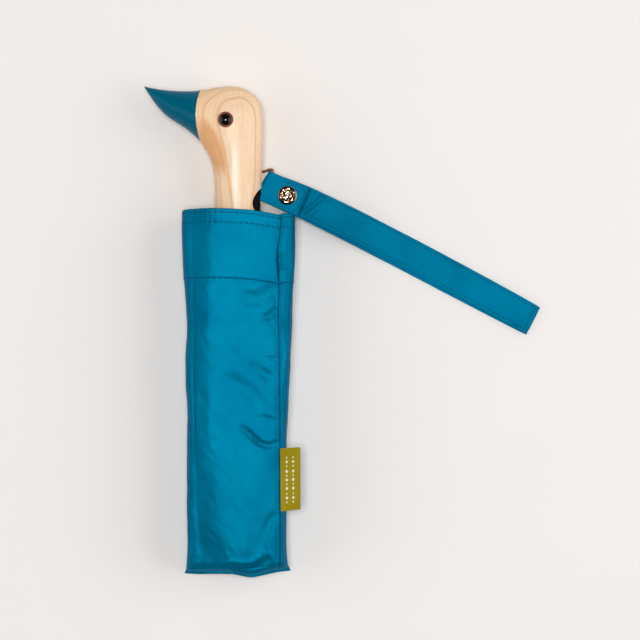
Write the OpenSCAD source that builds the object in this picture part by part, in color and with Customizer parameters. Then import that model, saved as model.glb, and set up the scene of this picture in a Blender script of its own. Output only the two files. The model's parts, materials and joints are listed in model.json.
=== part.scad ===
// Compact three-fold umbrella with a carved duck-head handle, closed, lying in its fabric sleeve.
// The shaft runs along Y at x = 0, the head points to +Y with its beak towards -X, and +Z is up.
// The origin is the middle of the flat face under the sleeve.

/* [Sleeve] */
// Overall height of the sleeve as it lies
sleeve_h = 46; // [45.5:0.1:48]
// Thickness of the sleeve cloth with its lining
sleeve_wall = 0.9; // [0.7:0.1:1]
// Mouth of the sleeve along the shaft
mouth_y = 115; // [108:1:115]

/* [Handle] */
// Radius of the neck
neck_r = 15.2; // [15:0.1:15.4]
// Radius of each eye's ring
eye_r = 5; // [4:0.1:5.4]

/* [Strap] */
// Width of the wrist strap
strap_w = 19.5; // [16:0.5:20]
// Thickness of the doubled strap
strap_t = 2; // [1.4:0.1:2]

/* [Frame] */
// Number of ribs round the shaft
rib_count = 8; // [6:1:8]
// Outer radius of the largest tube
outer_tube_r = 5; // [5:0.01:5.02]

/* [Hidden] */
$fn = 48;
eps = 0.01;
axis_z = 23;               // height of the shaft's axis over the floor
fit = 0.03;                // radial clearance of a running or seated fit

wood = [0.91, 0.78, 0.62];
teal = [0.0, 0.53, 0.68];
strap_teal = [0.0, 0.46, 0.6];
beak_teal = [0.0, 0.33, 0.42];
brown = [0.36, 0.22, 0.1];
black = [0.06, 0.06, 0.07];
copper = [0.72, 0.45, 0.32];
nickel = [0.78, 0.76, 0.74];
steel = [0.66, 0.68, 0.7];
olive = [0.56, 0.5, 0.1];

// Handle, along the shaft
neck_y0 = 98;              // foot of the neck
neck_y1 = 137;             // where the round neck starts to swell into the throat
socket_top = 143;          // blind end of the tube's bore
pin_y = 108;               // cross pin
pin_r = 1.2;
pin_half = 13;
cup_r = 17.5;
cup_y0 = 84.5;
cup_wall = 1;
cup_floor = 2;

// Push button, along X
housing_y = 123;
housing_half_y = 10.2;
housing_half_z = 11.8;
housing_x0 = 5.5;
housing_floor = 0.7;
housing_r = 15;            // the insert's face follows the neck, just under its surface
lip_x = 11.2;              // inner face of the lip that keeps the button in
cavity_r = 7.2;
flange_r = 7;
pad_r = 6;
button_x1 = 14.4;
flange_t = 1.3;
button_spring_r = 4.5;
button_wire_r = 0.3;

// Eyes
eye_x = -7.7;
eye_y = 176.8;
iris_z0 = 14.4;            // heights over the shaft's axis
iris_z1 = 16.5;
pupil_r = 3.75;
pupil_z0 = 15.2;
pupil_rise = 1.3;

// The paint line of the beak is an arc about this point
paint_x = 25.9;
paint_y = 180;
paint_r = 53;

// Sections of the head and beak, each [back point, front point, half thickness], from neck to tip
head_sections = [
    [[15.1, 135], [-15.1, 135], 15.1], [[15.1, 137.4], [-15.1, 137.4], 15.1],
    [[15.3, 143], [-15.6, 142.5], 15.2], [[15.4, 150], [-16.3, 147.5], 15.2],
    [[15.6, 158], [-17.9, 152.5], 15.3], [[15.8, 166], [-19.9, 156.9], 15.6],
    [[15.9, 174], [-21.3, 159.5], 16], [[15.8, 180.5], [-22.3, 161.1], 16.2],
    [[15.2, 185.7], [-22.8, 161.6], 16.2], [[13.6, 189.8], [-23.2, 162.05], 16.1],
    [[10.5, 193.8], [-23.6, 162.5], 15.9], [[6.2, 196.8], [-24, 162.95], 15.5],
    [[1, 199], [-24.4, 163.4], 15], [[-5.1, 199.7], [-24.8, 163.85], 14.4],
    [[-11.2, 199.2], [-25.25, 164.35], 13.8], [[-18.1, 198.1], [-25.8, 164.9], 13],
    [[-24.4, 197], [-26.6, 165.7], 12.2],
    [[-29.5, 196.5], [-28.6, 167.6], 11.3], [[-35.6, 196.4], [-33.9, 172], 9.9],
    [[-41, 196.6], [-39.9, 175.9], 8.6], [[-46, 197], [-45.2, 179.4], 7.4],
    [[-50.5, 197.5], [-49.5, 183.3], 6.2], [[-54.5, 198.1], [-53.9, 188.5], 4.9],
    [[-57.8, 198.7], [-57.3, 193.3], 3.4], [[-60, 199.2], [-59.6, 197], 1.8],
    [[-61.1, 199.7], [-61, 199.1], 0.7]];
head_sides = 28;

// Staple: its route in plan at the axis height, and its wire
staple = [[9, 144.2], [16.6, 144.2], [20.3, 145.6], [22.8, 145.3], [18.1, 137.1], [16.8, 135.4], [9, 135.4]];
staple_r = 0.95;
staple_bend = 0.9;         // how far from each corner its bend starts

// Strap frame: u runs along the strap's first stretch, w across it and n up
strap_at = [17.5, 134.9];
strap_turn = -23.4;
strap_n0 = 22.45;
staple_turn = -29.8;       // direction of the cloth where it goes round the staple
turn_at = [20.45, 141.2];  // middle of the staple's straight run
fold_u = 7;                // fold line that the strap and its tab both bend on
fold_gap = 1;              // half the gap left at the fold line
tab_end = 26;
tab_t = 0.9;
tab_n = 2;
snap_u = 15.7;
turn_r = 2.3;
turn_t = 0.9;              // cloth of the turn
neck_side = 15.9;          // the cloth lies along the neck no nearer than this

// Middle of the strap from the fold line to its far end
strap_route = [
    [24.8, 131.7, 21.6], [37, 126.5, 21.6], [46, 122.4, 20.9], [54, 118.6, 18.7], [62, 114.8, 15.5],
    [70, 111, 11.8], [79, 106.6, 7.6], [88, 102.1, 4.2], [97, 97.5, 2], [106, 92.9, 1.15],
    [116, 87.7, 1], [135, 77.7, 1], [155, 67.2, 1], [175, 56.7, 1], [191.9, 47.7, 1]];
slit = 0.3;                // gap between the strap's two layers

// Telescoping shaft, along Y
tube_wall = 0.5;
outer_y = [-103, 84];
middle_r = 4.2;
middle_wall = 0.4;
middle_y = [-94, 90];
inner_r = 3.5;
inner_wall = 0.4;
inner_y = [-90, 142];
spring_r = 2.4;
spring_wire_r = 0.35;
spring_turns = 18;
spring_y = [-88, 106.2];   // its far end bears on the handle's cross pin

// Rib frame: distances from the shaft's axis and places along it
crown_y = [-104, -95];
crown_r = 12.2;
crown_pivot_y = -99;
runner_y = [50, 84];
runner_r = 6.4;
hub_y = [69, 79];
hub_r = 10.2;
runner_pivot_y = 74;
slot_w = 2.9;
ring_wire_r = 0.5;
stretcher_r = 7.9;
inner_rib_r = 10.4;
middle_rib_r = 12.7;
outer_rib_r = 14.9;
rivet_r = 0.5;
hole_r = 0.53;
ring_hole_r = 0.7;
stretcher_end = -44;       // stretcher meets the inner rib
hinge_a = 64;              // inner rib meets the middle rib
hinge_b = -94;             // middle rib meets the outer rib
rib_tip = 91;
tail_y = 69;               // control wire's end on the middle rib
wire_side = 2.2;           // control wire's distance to the side of its arm
wire_r = 0.4;
wire_eye_r = 1.1;
wire_eye_t = 0.6;
head_r = 0.8;              // rivet heads
head_t = 0.3;
crown_pin_r = 0.8;
crown_pin_y = -98;
crown_pin_half = 7.5;

// Canopy and band
canopy_half = [30, 20.3];
canopy_bore = 16.4;
canopy_y = [-102, 83];
band_y = [40, 58];
band_t = 1;
cloth_gap = 0.2;

// Sleeve sections: [place along Y, half width, top]; the outside dips under the floor and is cut flat
sleeve_dip = 0.6;
sleeve_outer = [
    [-118, 34.7, 8], [-117, 34.5, 18], [-114.5, 34, 33], [-111, 33.4, 40], [-105, 32.9, 43.6],
    [-80, 32.5, 45.2], [-40, 32.8, 45.8], [0, 33.4, sleeve_h], [40, 34.6, sleeve_h],
    [84, 35.7, sleeve_h], [mouth_y, 36.4, sleeve_h]];

// ---- Helpers -------------------------------------------------------------------------------

// Places children on the shaft's axis at y, with their +Z along +Y
module on_shaft(y) { translate([0, y, axis_z]) rotate([-90, 0, 0]) children(); }

// Round bar and tube along the shaft
module bar(r, y0, y1) { on_shaft(y0) cylinder(r = r, h = y1 - y0); }
module tube(r, wall, y0, y1) {
    difference() {
        bar(r, y0, y1);
        bar(r - wall, y0 - 1, y1 + 1);
    }
}

// Places children at x on the button's axis, with their +Z along +X
module on_button(x) { translate([x, housing_y, axis_z]) rotate([0, 90, 0]) children(); }

// Places children in the strap's own frame
module in_strap() { translate([strap_at[0], strap_at[1], strap_n0]) rotate([0, 0, strap_turn]) children(); }

// Closed skin over rings of points, all of one length
module skin(rings) {
    n = len(rings[0]);
    last = len(rings) - 1;
    sides = [for (i = [0:last - 1], k = [0:n - 1], half = [0, 1])
        let (a = i * n + k, b = i * n + (k + 1) % n)
            half == 0 ? [a, b, b + n] : [a, b + n, a + n]];
    first_cap = [[for (k = [0:n - 1]) n - 1 - k]];
    last_cap = [[for (k = [0:n - 1]) last * n + k]];
    polyhedron(points = [for (ring = rings) each ring], faces = concat(first_cap, sides, last_cap));
}

function unit(v) = v / norm(v);
function signed_pow(v, p) = sign(v) * pow(abs(v), p);

// Ring round the line from back to front, as thick as twice t
function head_ring(s) = [for (k = [0:head_sides - 1])
    let (a = 360 * k / head_sides, m = (s[0] + s[1]) / 2, d = (s[0] - s[1]) / 2)
        [m[0] + d[0] * cos(a), m[1] + d[1] * cos(a), axis_z + s[2] * sin(a)]];

// Rounded-rectangle ring across the shaft: half width a, from z0 to z1
function cloth_ring(y, a, z0, z1, sides, power) = [for (k = [0:sides - 1])
    let (t = 360 * k / sides)
        [a * signed_pow(cos(t), power), y, (z0 + z1) / 2 + (z1 - z0) / 2 * signed_pow(sin(t), power)]];

// Spring wire round the local Z axis
module coil(r, wire_r, h, turns, steps, sides) {
    count = turns * steps;
    skin([for (i = [0:count])
        let (a = 360 * i / steps, z = h * i / count)
            [for (k = [0:sides - 1])
                let (t = 360 * k / sides, q = r + wire_r * cos(t))
                    [q * cos(a), q * sin(a), z + wire_r * sin(t)]]]);
}

// ---- Handle --------------------------------------------------------------------------------

module carved_shape() { skin([for (s = head_sections) head_ring(s)]); }

// Everything in front of the paint line
module beak_side() {
    difference() {
        translate([-80, 155, axis_z - 25]) cube([58, 60, 50]);
        translate([paint_x, paint_y, axis_z - 26]) cylinder(r = paint_r, h = 52, $fn = 96);
    }
}

// Oval prism along X from x0 to x1, made of round pieces so that it stays exact
module oval(grow, x0, x1) {
    r = housing_half_y + grow;
    shift = housing_half_z - housing_half_y;
    on_button(x0) union() {
        for (s = [-1, 1]) translate([s * shift, 0, 0]) cylinder(r = r, h = x1 - x0);
        translate([-shift, -r, 0]) cube([2 * shift, 2 * r, x1 - x0]);
    }
}

module duck_head() {
    color(wood) difference() {
        union() {
            bar(neck_r, neck_y0, neck_y1);
            difference() {
                carved_shape();
                beak_side();
            }
        }
        bar(inner_r + fit, neck_y0 - 1, socket_top);
        oval(fit, housing_x0 - fit, neck_r + 5);
        for (s = [-1, 1]) translate([eye_x, eye_y, axis_z + s * (iris_z0 + 5)])
            cylinder(r = eye_r + fit, h = 10, center = true);
        for (foot = [staple[0], staple[len(staple) - 1]])
            translate([foot[0] - fit, foot[1], axis_z]) rotate([0, 90, 0])
                cylinder(r = staple_r + fit, h = 10);
        translate([0, pin_y, axis_z - pin_half - fit]) cylinder(r = pin_r + fit, h = 2 * (pin_half + fit));
    }
}

module beak() {
    color(beak_teal) intersection() {
        carved_shape();
        beak_side();
    }
}

module eye_irises() {
    color(brown) for (s = [-1, 1])
        translate([eye_x, eye_y, axis_z]) mirror([0, 0, s > 0 ? 0 : 1]) difference() {
            translate([0, 0, iris_z0]) cylinder(r = eye_r, h = iris_z1 - iris_z0);
            translate([0, 0, pupil_z0]) cylinder(r = pupil_r + fit, h = 5);
        }
}

module eye_pupils() {
    dome_r = (pupil_r * pupil_r + pupil_rise * pupil_rise) / (2 * pupil_rise);
    color(black) for (s = [-1, 1])
        translate([eye_x, eye_y, axis_z]) mirror([0, 0, s > 0 ? 0 : 1]) intersection() {
            translate([0, 0, pupil_z0]) cylinder(r = pupil_r, h = 5);
            translate([0, 0, iris_z1 + pupil_rise - dome_r]) sphere(r = dome_r);
        }
}

module button_housing() {
    color(black) difference() {
        intersection() {
            oval(0, housing_x0, neck_r + 2);
            bar(housing_r, housing_y - 20, housing_y + 20);
        }
        on_button(housing_x0 + housing_floor) cylinder(r = cavity_r, h = lip_x - housing_x0 - housing_floor);
        on_button(lip_x - 1) cylinder(r = pad_r + 0.1, h = 10);
    }
}

module button() {
    flange_x1 = lip_x - 0.1;
    color(black) union() {
        on_button(flange_x1 - flange_t) cylinder(r = flange_r, h = flange_t);
        intersection() {
            on_button(flange_x1 - eps) cylinder(r = pad_r, h = button_x1 - flange_x1 + 1);
            translate([button_x1 - 30, housing_y, axis_z]) sphere(r = 30, $fn = 96);
        }
    }
}

module button_spring() {
    x0 = housing_x0 + housing_floor + button_wire_r + 0.05;
    x1 = lip_x - 0.1 - flange_t - button_wire_r - 0.05;
    color(steel) on_button(x0) coil(button_spring_r, button_wire_r, x1 - x0, 2, 20, 6);
}

// Round wire of radius r through the points of a path at the axis height
function wire_ring(path, i, r) = let (
        d = unit(path[min(i + 1, len(path) - 1)] - path[max(i - 1, 0)]),
        side = [d[1], -d[0]])
    [for (k = [0:11]) let (t = 30 * k)
        [path[i][0] + r * cos(t) * side[0], path[i][1] + r * cos(t) * side[1], axis_z + r * sin(t)]];

// Rounds the corners of a path, starting each bend a distance c from its corner
function rounded(p, c) = concat([p[0]],
    [for (i = [1:len(p) - 2], t = [0:0.25:1])
        let (a = p[i] + c * unit(p[i - 1] - p[i]), b = p[i] + c * unit(p[i + 1] - p[i]))
            (1 - t) * (1 - t) * a + 2 * t * (1 - t) * p[i] + t * t * b],
    [p[len(p) - 1]]);

module strap_staple() {
    path = rounded(staple, staple_bend);
    color(copper) skin([for (i = [0:len(path) - 1]) wire_ring(path, i, staple_r)]);
}

module tip_cup() {
    color(black) difference() {
        bar(cup_r, cup_y0, neck_y0 - fit);
        bar(cup_r - cup_wall, cup_y0 - 1, neck_y0 - cup_floor);
        bar(inner_r + fit, cup_y0 - 1, neck_y0 + 1);
    }
}

module handle_pin() {
    color(steel) translate([0, pin_y, axis_z - pin_half]) cylinder(r = pin_r, h = 2 * pin_half);
}

// ---- Shaft ---------------------------------------------------------------------------------

module inner_tube() {
    color(steel) difference() {
        tube(inner_r, inner_wall, inner_y[0], inner_y[1]);
        translate([0, pin_y, axis_z - 10]) cylinder(r = pin_r + fit, h = 20);
    }
}

module inner_collar() {
    color(black) tube(middle_r - middle_wall - fit, middle_r - middle_wall - inner_r - 2 * fit,
        inner_y[0], inner_y[0] + 6);
}

module middle_tube() { color(steel) tube(middle_r, middle_wall, middle_y[0], middle_y[1]); }

module middle_collar() {
    color(black) tube(outer_tube_r - tube_wall - fit, outer_tube_r - tube_wall - middle_r - 2 * fit,
        middle_y[0], middle_y[0] + 6);
}

module middle_bush() {
    color(black) tube(middle_r - middle_wall - fit, middle_r - middle_wall - inner_r - 2 * fit,
        middle_y[1] - 8, middle_y[1]);
}

module outer_tube() {
    color(steel) difference() {
        tube(outer_tube_r, tube_wall, outer_y[0], outer_y[1]);
        translate([-10, crown_pin_y, axis_z]) rotate([0, 90, 0]) cylinder(r = crown_pin_r + fit, h = 20);
    }
}

module outer_bush() {
    color(black) tube(outer_tube_r - tube_wall - fit, outer_tube_r - tube_wall - middle_r - 2 * fit,
        outer_y[1] - 8, outer_y[1]);
}

module main_spring() {
    color(steel) on_shaft(spring_y[0])
        coil(spring_r, spring_wire_r, spring_y[1] - spring_y[0], spring_turns, 10, 5);
}

// ---- Crown and runner ----------------------------------------------------------------------

// Repeats children on every arm, turned so that +X is outwards
module arms() {
    for (i = [0:rib_count - 1]) on_shaft(0) rotate([0, 0, (i + 0.5) * 360 / rib_count]) children();
}

// Slots for the arms, from radius r0 outwards, between two places along the shaft
module arm_slots(r0, y0, y1) {
    arms() translate([r0, -slot_w / 2, y0]) cube([20, slot_w, y1 - y0]);
}

// Ring of wire round the shaft
module ring_wire(r, y) { on_shaft(y) rotate_extrude() translate([r, 0]) circle(r = ring_wire_r, $fn = 24); }

module ring_groove(r, y) {
    on_shaft(y) rotate_extrude() translate([r, 0]) circle(r = ring_wire_r + fit, $fn = 24);
}

module crown() {
    color(black) difference() {
        bar(crown_r, crown_y[0], crown_y[1]);
        bar(outer_tube_r + fit, crown_y[0] + 1, crown_y[1] + 1);
        arm_slots(inner_rib_r - 2.2, crown_pivot_y - 2.6, crown_y[1] + 1);
        ring_groove(inner_rib_r, crown_pivot_y);
        translate([-crown_r - 1, crown_pin_y, axis_z]) rotate([0, 90, 0])
            cylinder(r = crown_pin_r + fit, h = 2 * crown_r + 2);
    }
}

module crown_wire() { color(steel) ring_wire(inner_rib_r, crown_pivot_y); }

module crown_pin() {
    color(steel) translate([-crown_pin_half, crown_pin_y, axis_z]) rotate([0, 90, 0])
        cylinder(r = crown_pin_r, h = 2 * crown_pin_half);
}

module top_cap() {
    color(black) difference() {
        intersection() {
            bar(crown_r + 0.3, crown_y[0] - 7, crown_y[0] - 0.1);
            on_shaft(crown_y[0] - 0.1 + 16) sphere(r = 23, $fn = 96);
        }
        bar(crown_r - 2, crown_y[0] - 2.5, crown_y[0]);
    }
}

module runner() {
    color(black) difference() {
        union() {
            bar(runner_r, runner_y[0], runner_y[1]);
            bar(hub_r, hub_y[0], hub_y[1]);
        }
        bar(outer_tube_r + 0.1, runner_y[0] - 1, runner_y[1] + 1);
        arm_slots(runner_r + 0.2, hub_y[0] - 1, hub_y[1] - 2);
        ring_groove(stretcher_r, runner_pivot_y);
    }
}

module runner_wire() { color(steel) ring_wire(stretcher_r, runner_pivot_y); }

// ---- Ribs ----------------------------------------------------------------------------------

// Channel along an arm, open towards the shaft: middle radius r, height h, width w, sheet t
module channel(r, h, w, t, y0, y1) {
    difference() {
        translate([r - h / 2, -w / 2, y0]) cube([h, w, y1 - y0]);
        translate([r - h / 2 - 1, -w / 2 + t, y0 - 1]) cube([h + 1 - t, w - 2 * t, y1 - y0 + 2]);
    }
}

// Pair of ears that straddle a rib: from radius r0 to r1, between y0 and y1
module ears(r0, r1, inside_w, t, y0, y1) {
    for (s = [-1, 1]) translate([r0, s * (inside_w + t) / 2 - t / 2, y0]) cube([r1 - r0, t, y1 - y0]);
}

// Hole across an arm
module cross_hole(r, y, hole) {
    translate([r, -5, y]) rotate([-90, 0, 0]) cylinder(r = hole, h = 10, $fn = 24);
}

module inner_ribs() {
    color(steel) arms() difference() {
        union() {
            channel(inner_rib_r, 2, 2.2, 0.35, crown_pivot_y - 2, hinge_a + 2);
            ears(inner_rib_r - 1, middle_rib_r + 1, 2, 0.4, hinge_a - 3, hinge_a + 2);
            translate([inner_rib_r - 1, -1.1, crown_pivot_y - 2]) cube([2, 2.2, 4]);
        }
        cross_hole(inner_rib_r, crown_pivot_y, ring_hole_r);
        cross_hole(inner_rib_r, stretcher_end, hole_r);
        cross_hole(middle_rib_r, hinge_a, hole_r);
    }
}

module stretchers() {
    color(steel) arms() difference() {
        union() {
            channel(stretcher_r, 2, 2, 0.35, stretcher_end - 2, runner_pivot_y + 2);
            ears(stretcher_r - 1, inner_rib_r + 1, 2.5, 0.4, stretcher_end - 2, stretcher_end + 2);
            ears(stretcher_r - 1, stretcher_r + 1, 1.3, 1, stretcher_end - 2, stretcher_end + 2);
            translate([stretcher_r - 1, -1, runner_pivot_y - 2]) cube([2, 2, 4]);
        }
        cross_hole(stretcher_r, runner_pivot_y, ring_hole_r);
        cross_hole(inner_rib_r, stretcher_end, hole_r);
    }
}

module middle_ribs() {
    color(steel) arms() difference() {
        union() {
            channel(middle_rib_r, 1.8, 1.7, 0.3, hinge_b - 2, tail_y + 2);
            ears(middle_rib_r - 0.9, outer_rib_r + 1, 1.9, 0.4, hinge_b - 2, hinge_b + 2);
            ears(middle_rib_r - 0.9, middle_rib_r + 0.9, 1.5, 0.3, hinge_b - 2, hinge_b + 2);
        }
        cross_hole(middle_rib_r, hinge_a, hole_r);
        cross_hole(middle_rib_r, tail_y, hole_r);
        cross_hole(outer_rib_r, hinge_b, hole_r);
    }
}

module outer_ribs() {
    color(steel) arms() difference() {
        union() {
            translate([outer_rib_r, 0, hinge_b]) cylinder(r = 0.8, h = rib_tip - hinge_b, $fn = 24);
            translate([outer_rib_r - 0.9, -0.8, hinge_b - 1.5]) cube([1.8, 1.6, 4]);
        }
        cross_hole(outer_rib_r, hinge_b, hole_r);
    }
}

module control_wires() {
    // From the stretcher's rivet to the middle rib's tail, beside the arm
    a = [inner_rib_r, wire_side, stretcher_end];
    b = [middle_rib_r, wire_side, tail_y];
    lean = atan2(b[0] - a[0], b[2] - a[2]);
    color(steel) arms() difference() {
        union() {
            translate(a) rotate([0, lean, 0]) cylinder(r = wire_r, h = norm(b - a), $fn = 24);
            for (p = [a, b]) translate(p) rotate([90, 0, 0])
                cylinder(r = wire_eye_r, h = wire_eye_t, center = true, $fn = 24);
        }
        cross_hole(a[0], a[2], hole_r);
        cross_hole(b[0], b[2], hole_r);
    }
}

// Rivet across an arm, with a head at each end
module rivet(r, y, low, high) {
    translate([r, low, y]) rotate([-90, 0, 0]) {
        cylinder(r = rivet_r, h = high - low, $fn = 24);
        for (z = [-head_t, high - low]) translate([0, 0, z]) cylinder(r = head_r, h = head_t, $fn = 24);
    }
}

module rib_rivets() {
    color(nickel) arms() {
        rivet(inner_rib_r, stretcher_end, -1.7, wire_side + wire_r + 0.05);
        rivet(middle_rib_r, hinge_a, -1.45, 1.45);
        rivet(middle_rib_r, tail_y, -0.9, wire_side + wire_r + 0.05);
        rivet(outer_rib_r, hinge_b, -1.4, 1.4);
    }
}

module rib_tips() {
    color(black) arms() translate([outer_rib_r, 0, rib_tip - 4]) difference() {
        union() {
            cylinder(r = 1.25, h = 6, $fn = 24);
            translate([0, 0, 6]) sphere(r = 1.25, $fn = 24);
        }
        translate([0, 0, -1]) cylinder(r = 0.8 + fit, h = 5 + fit, $fn = 24);
    }
}

// ---- Cloth ---------------------------------------------------------------------------------

// Packed canopy at y, grown outwards: it narrows a little at both ends
function canopy_ring(y, grow, ease) = cloth_ring(y, (canopy_half[0] - ease + grow),
    axis_z - canopy_half[1] + ease - grow, axis_z + canopy_half[1] - ease + grow, 28, 0.85);

module canopy() {
    rings = [[canopy_y[0], 3], [canopy_y[0] + 3, 1], [canopy_y[0] + 10, 0], [band_y[0], 0],
        [band_y[1], 0], [canopy_y[1] - 8, 0.4], [canopy_y[1] - 2, 1.6], [canopy_y[1], 2.6]];
    color(teal) difference() {
        skin([for (r = rings) canopy_ring(r[0], 0, r[1])]);
        bar(canopy_bore, canopy_y[0] - 1, canopy_y[1] + 1);
    }
}

module tie_band() {
    color(teal) difference() {
        skin([for (y = band_y) canopy_ring(y, cloth_gap + band_t, 0)]);
        skin([for (y = [band_y[0] - 1, band_y[1] + 1]) canopy_ring(y, cloth_gap, 0)]);
    }
}

module tie_snap() {
    color(nickel) translate([canopy_half[0] + cloth_gap + band_t + 0.05, (band_y[0] + band_y[1]) / 2, axis_z])
        rotate([0, 90, 0]) cylinder(r1 = 4.2, r2 = 3.6, h = 1.1);
}

// Sleeve's outside or inside: sections grown by g, with their floor at z0
module sleeve_body(sections, g, z0) {
    skin([for (s = sections) cloth_ring(s[0], s[1] + g, z0, s[2] + g, 32, 0.8)]);
}

module sleeve() {
    last = len(sleeve_outer) - 1;
    // The inside only widens towards the mouth, so that the sleeve can be pulled off
    inside = concat([for (i = [1:last]) [sleeve_outer[i][0] + (i < 4 ? sleeve_wall : 0),
            i < 6 ? min(sleeve_outer[i][1], 32.5) : sleeve_outer[i][1], sleeve_outer[i][2]]],
        [[mouth_y + 1, sleeve_outer[last][1], sleeve_h]]);
    color(teal) difference() {
        sleeve_body(sleeve_outer, 0, -sleeve_dip);
        sleeve_body(inside, -sleeve_wall, sleeve_wall);
        translate([-60, -140, -10]) cube([120, 280, 10]);
    }
}

module label() {
    // Folded ribbon in the side seam, on the upper right of the sleeve
    color(olive) translate([27.4, -76.1, 39.4]) rotate([0, 17, 0]) difference() {
        cube([13.6, 41, 0.9]);
        translate([-1, -1, 0.35]) cube([12.6, 43, 0.2]);
    }
}

// ---- Strap ---------------------------------------------------------------------------------

// Cloth of thickness t round the staple, seen from the side: a half ring and two legs along u
module turn_profile() {
    difference() {
        union() {
            circle(r = turn_r);
            translate([0, -turn_r]) square([20, 2 * turn_r]);
        }
        circle(r = turn_r - turn_t);
        translate([0, -turn_r + turn_t]) square([21, 2 * (turn_r - turn_t)]);
    }
}

module strap_root() {
    foot = staple[len(staple) - 1];
    color(strap_teal) difference() {
        intersection() {
            translate([turn_at[0], turn_at[1], axis_z]) rotate([0, 0, staple_turn]) rotate([90, 0, 0])
                linear_extrude(60, center = true) turn_profile();
            in_strap() translate([-6, -strap_w / 2, -5]) cube([6 + fold_u - fold_gap, strap_w, 10]);
            translate([neck_side, 100, 0]) cube([40, 60, 40]);
        }
        // The staple's lower leg comes out through the cloth
        translate([foot[0], foot[1], axis_z]) rotate([0, 90, 0]) cylinder(r = staple_r + 0.2, h = 8.6);
    }
}

// Direction of the strap at point i of its route
function along(i) = unit(strap_route[min(i + 1, len(strap_route) - 1)] - strap_route[max(i - 1, 0)]);

// Ring across the strap at point i: half width a, from h0 to h1 over its middle
function strap_ring(i, a, h0, h1) = let (p = strap_route[i], d = along(i),
        side = unit([-d[1], d[0], 0]), up = cross(d, side))
    [p - a * side + h0 * up, p - a * side + h1 * up, p + a * side + h1 * up, p + a * side + h0 * up];

module strap_band() {
    last = len(strap_route) - 1;
    color(strap_teal) difference() {
        skin([for (i = [0:last]) strap_ring(i, strap_w / 2, -strap_t / 2, strap_t / 2)]);
        skin([for (i = [2:last - 1]) strap_ring(i, strap_w / 2 + 1, -slit / 2, slit / 2)]);
        in_strap() translate([snap_u, 0, -3]) cylinder(r = 0.9, h = 6, $fn = 24);
    }
}

module strap_tab() {
    color(strap_teal) in_strap() difference() {
        translate([fold_u + fold_gap, -strap_w / 2, tab_n])
            cube([tab_end - fold_u - fold_gap, strap_w, tab_t]);
        translate([snap_u, 0, tab_n - 1]) cylinder(r = 2.2, h = 5, $fn = 24);
    }
}

// Press snap: cap and socket on the tab, stud and post on the band
module snap_cap() {
    color(nickel) in_strap() translate([snap_u, 0, tab_n + tab_t + 0.02]) rotate_extrude()
        polygon([[0, 0], [6.1, 0], [6.25, 0.25], [6, 0.55], [5.4, 0.75], [4.9, 0.7], [3, 0.95], [0, 1.05]]);
}

module snap_socket() {
    color(nickel) in_strap() translate([snap_u, 0, 0.6]) difference() {
        union() {
            cylinder(r = 4.6, h = tab_n - 0.62);
            cylinder(r = 2.15, h = tab_n + tab_t - 0.62);
        }
        translate([0, 0, -1]) cylinder(r = 1.8, h = 2.2);
    }
}

module snap_stud() {
    color(nickel) in_strap() translate([snap_u, 0, 0.17]) {
        cylinder(r = 4.2, h = 0.33);
        cylinder(r = 1.7, h = 1.4);
    }
}

module snap_post() {
    color(nickel) in_strap() translate([snap_u, 0, -1.87]) difference() {
        union() {
            translate([0, 0, -0.35]) cylinder(r = 4.2, h = 0.33);
            translate([0, 0, -0.1]) cylinder(r = 0.85, h = 2.13, $fn = 24);
        }
        translate([0, 0, -1]) cylinder(r = 0.3, h = 2.4, $fn = 24);
    }
}

duck_head();
beak();
eye_irises();
eye_pupils();
button_housing();
button();
button_spring();
strap_staple();
tip_cup();
handle_pin();
inner_tube();
inner_collar();
middle_tube();
middle_collar();
middle_bush();
outer_tube();
outer_bush();
main_spring();
runner();
runner_wire();
crown();
crown_wire();
crown_pin();
top_cap();
inner_ribs();
stretchers();
middle_ribs();
outer_ribs();
control_wires();
rib_rivets();
rib_tips();
canopy();
tie_band();
tie_snap();
sleeve();
label();
strap_root();
strap_band();
strap_tab();
snap_cap();
snap_socket();
snap_stud();
snap_post();
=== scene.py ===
"""Looks of a compact duck-head umbrella, closed in its sleeve, lying on a pale table and seen from above."""
import json
import math

import bmesh
import bpy
import numpy as np
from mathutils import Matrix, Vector


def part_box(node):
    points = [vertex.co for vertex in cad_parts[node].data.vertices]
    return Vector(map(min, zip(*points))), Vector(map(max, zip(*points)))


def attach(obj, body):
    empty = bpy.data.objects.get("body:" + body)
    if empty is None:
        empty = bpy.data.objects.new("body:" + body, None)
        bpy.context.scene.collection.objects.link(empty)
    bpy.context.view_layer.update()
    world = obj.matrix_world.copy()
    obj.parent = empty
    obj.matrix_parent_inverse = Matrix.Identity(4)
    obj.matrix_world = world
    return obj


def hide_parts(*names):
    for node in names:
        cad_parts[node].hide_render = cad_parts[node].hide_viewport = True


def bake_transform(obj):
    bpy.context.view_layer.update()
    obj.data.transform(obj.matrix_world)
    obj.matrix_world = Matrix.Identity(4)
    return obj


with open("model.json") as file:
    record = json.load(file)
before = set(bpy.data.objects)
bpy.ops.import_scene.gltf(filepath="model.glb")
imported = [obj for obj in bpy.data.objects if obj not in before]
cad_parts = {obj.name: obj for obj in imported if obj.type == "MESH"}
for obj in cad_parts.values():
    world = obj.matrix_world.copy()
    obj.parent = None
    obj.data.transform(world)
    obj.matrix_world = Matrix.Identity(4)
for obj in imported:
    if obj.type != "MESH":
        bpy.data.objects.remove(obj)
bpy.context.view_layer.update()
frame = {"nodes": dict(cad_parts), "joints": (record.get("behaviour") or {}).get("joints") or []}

MM = 0.001
SEED = 7

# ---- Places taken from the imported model, in mm ----


def box_mm(node):
    """Lowest and highest corner of a CAD node in mm."""
    low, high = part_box(node)
    return np.array(low) / MM, np.array(high) / MM


def centre_mm(node):
    """Middle of a CAD node's box in mm."""
    low, high = box_mm(node)
    return (low + high) / 2


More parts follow.
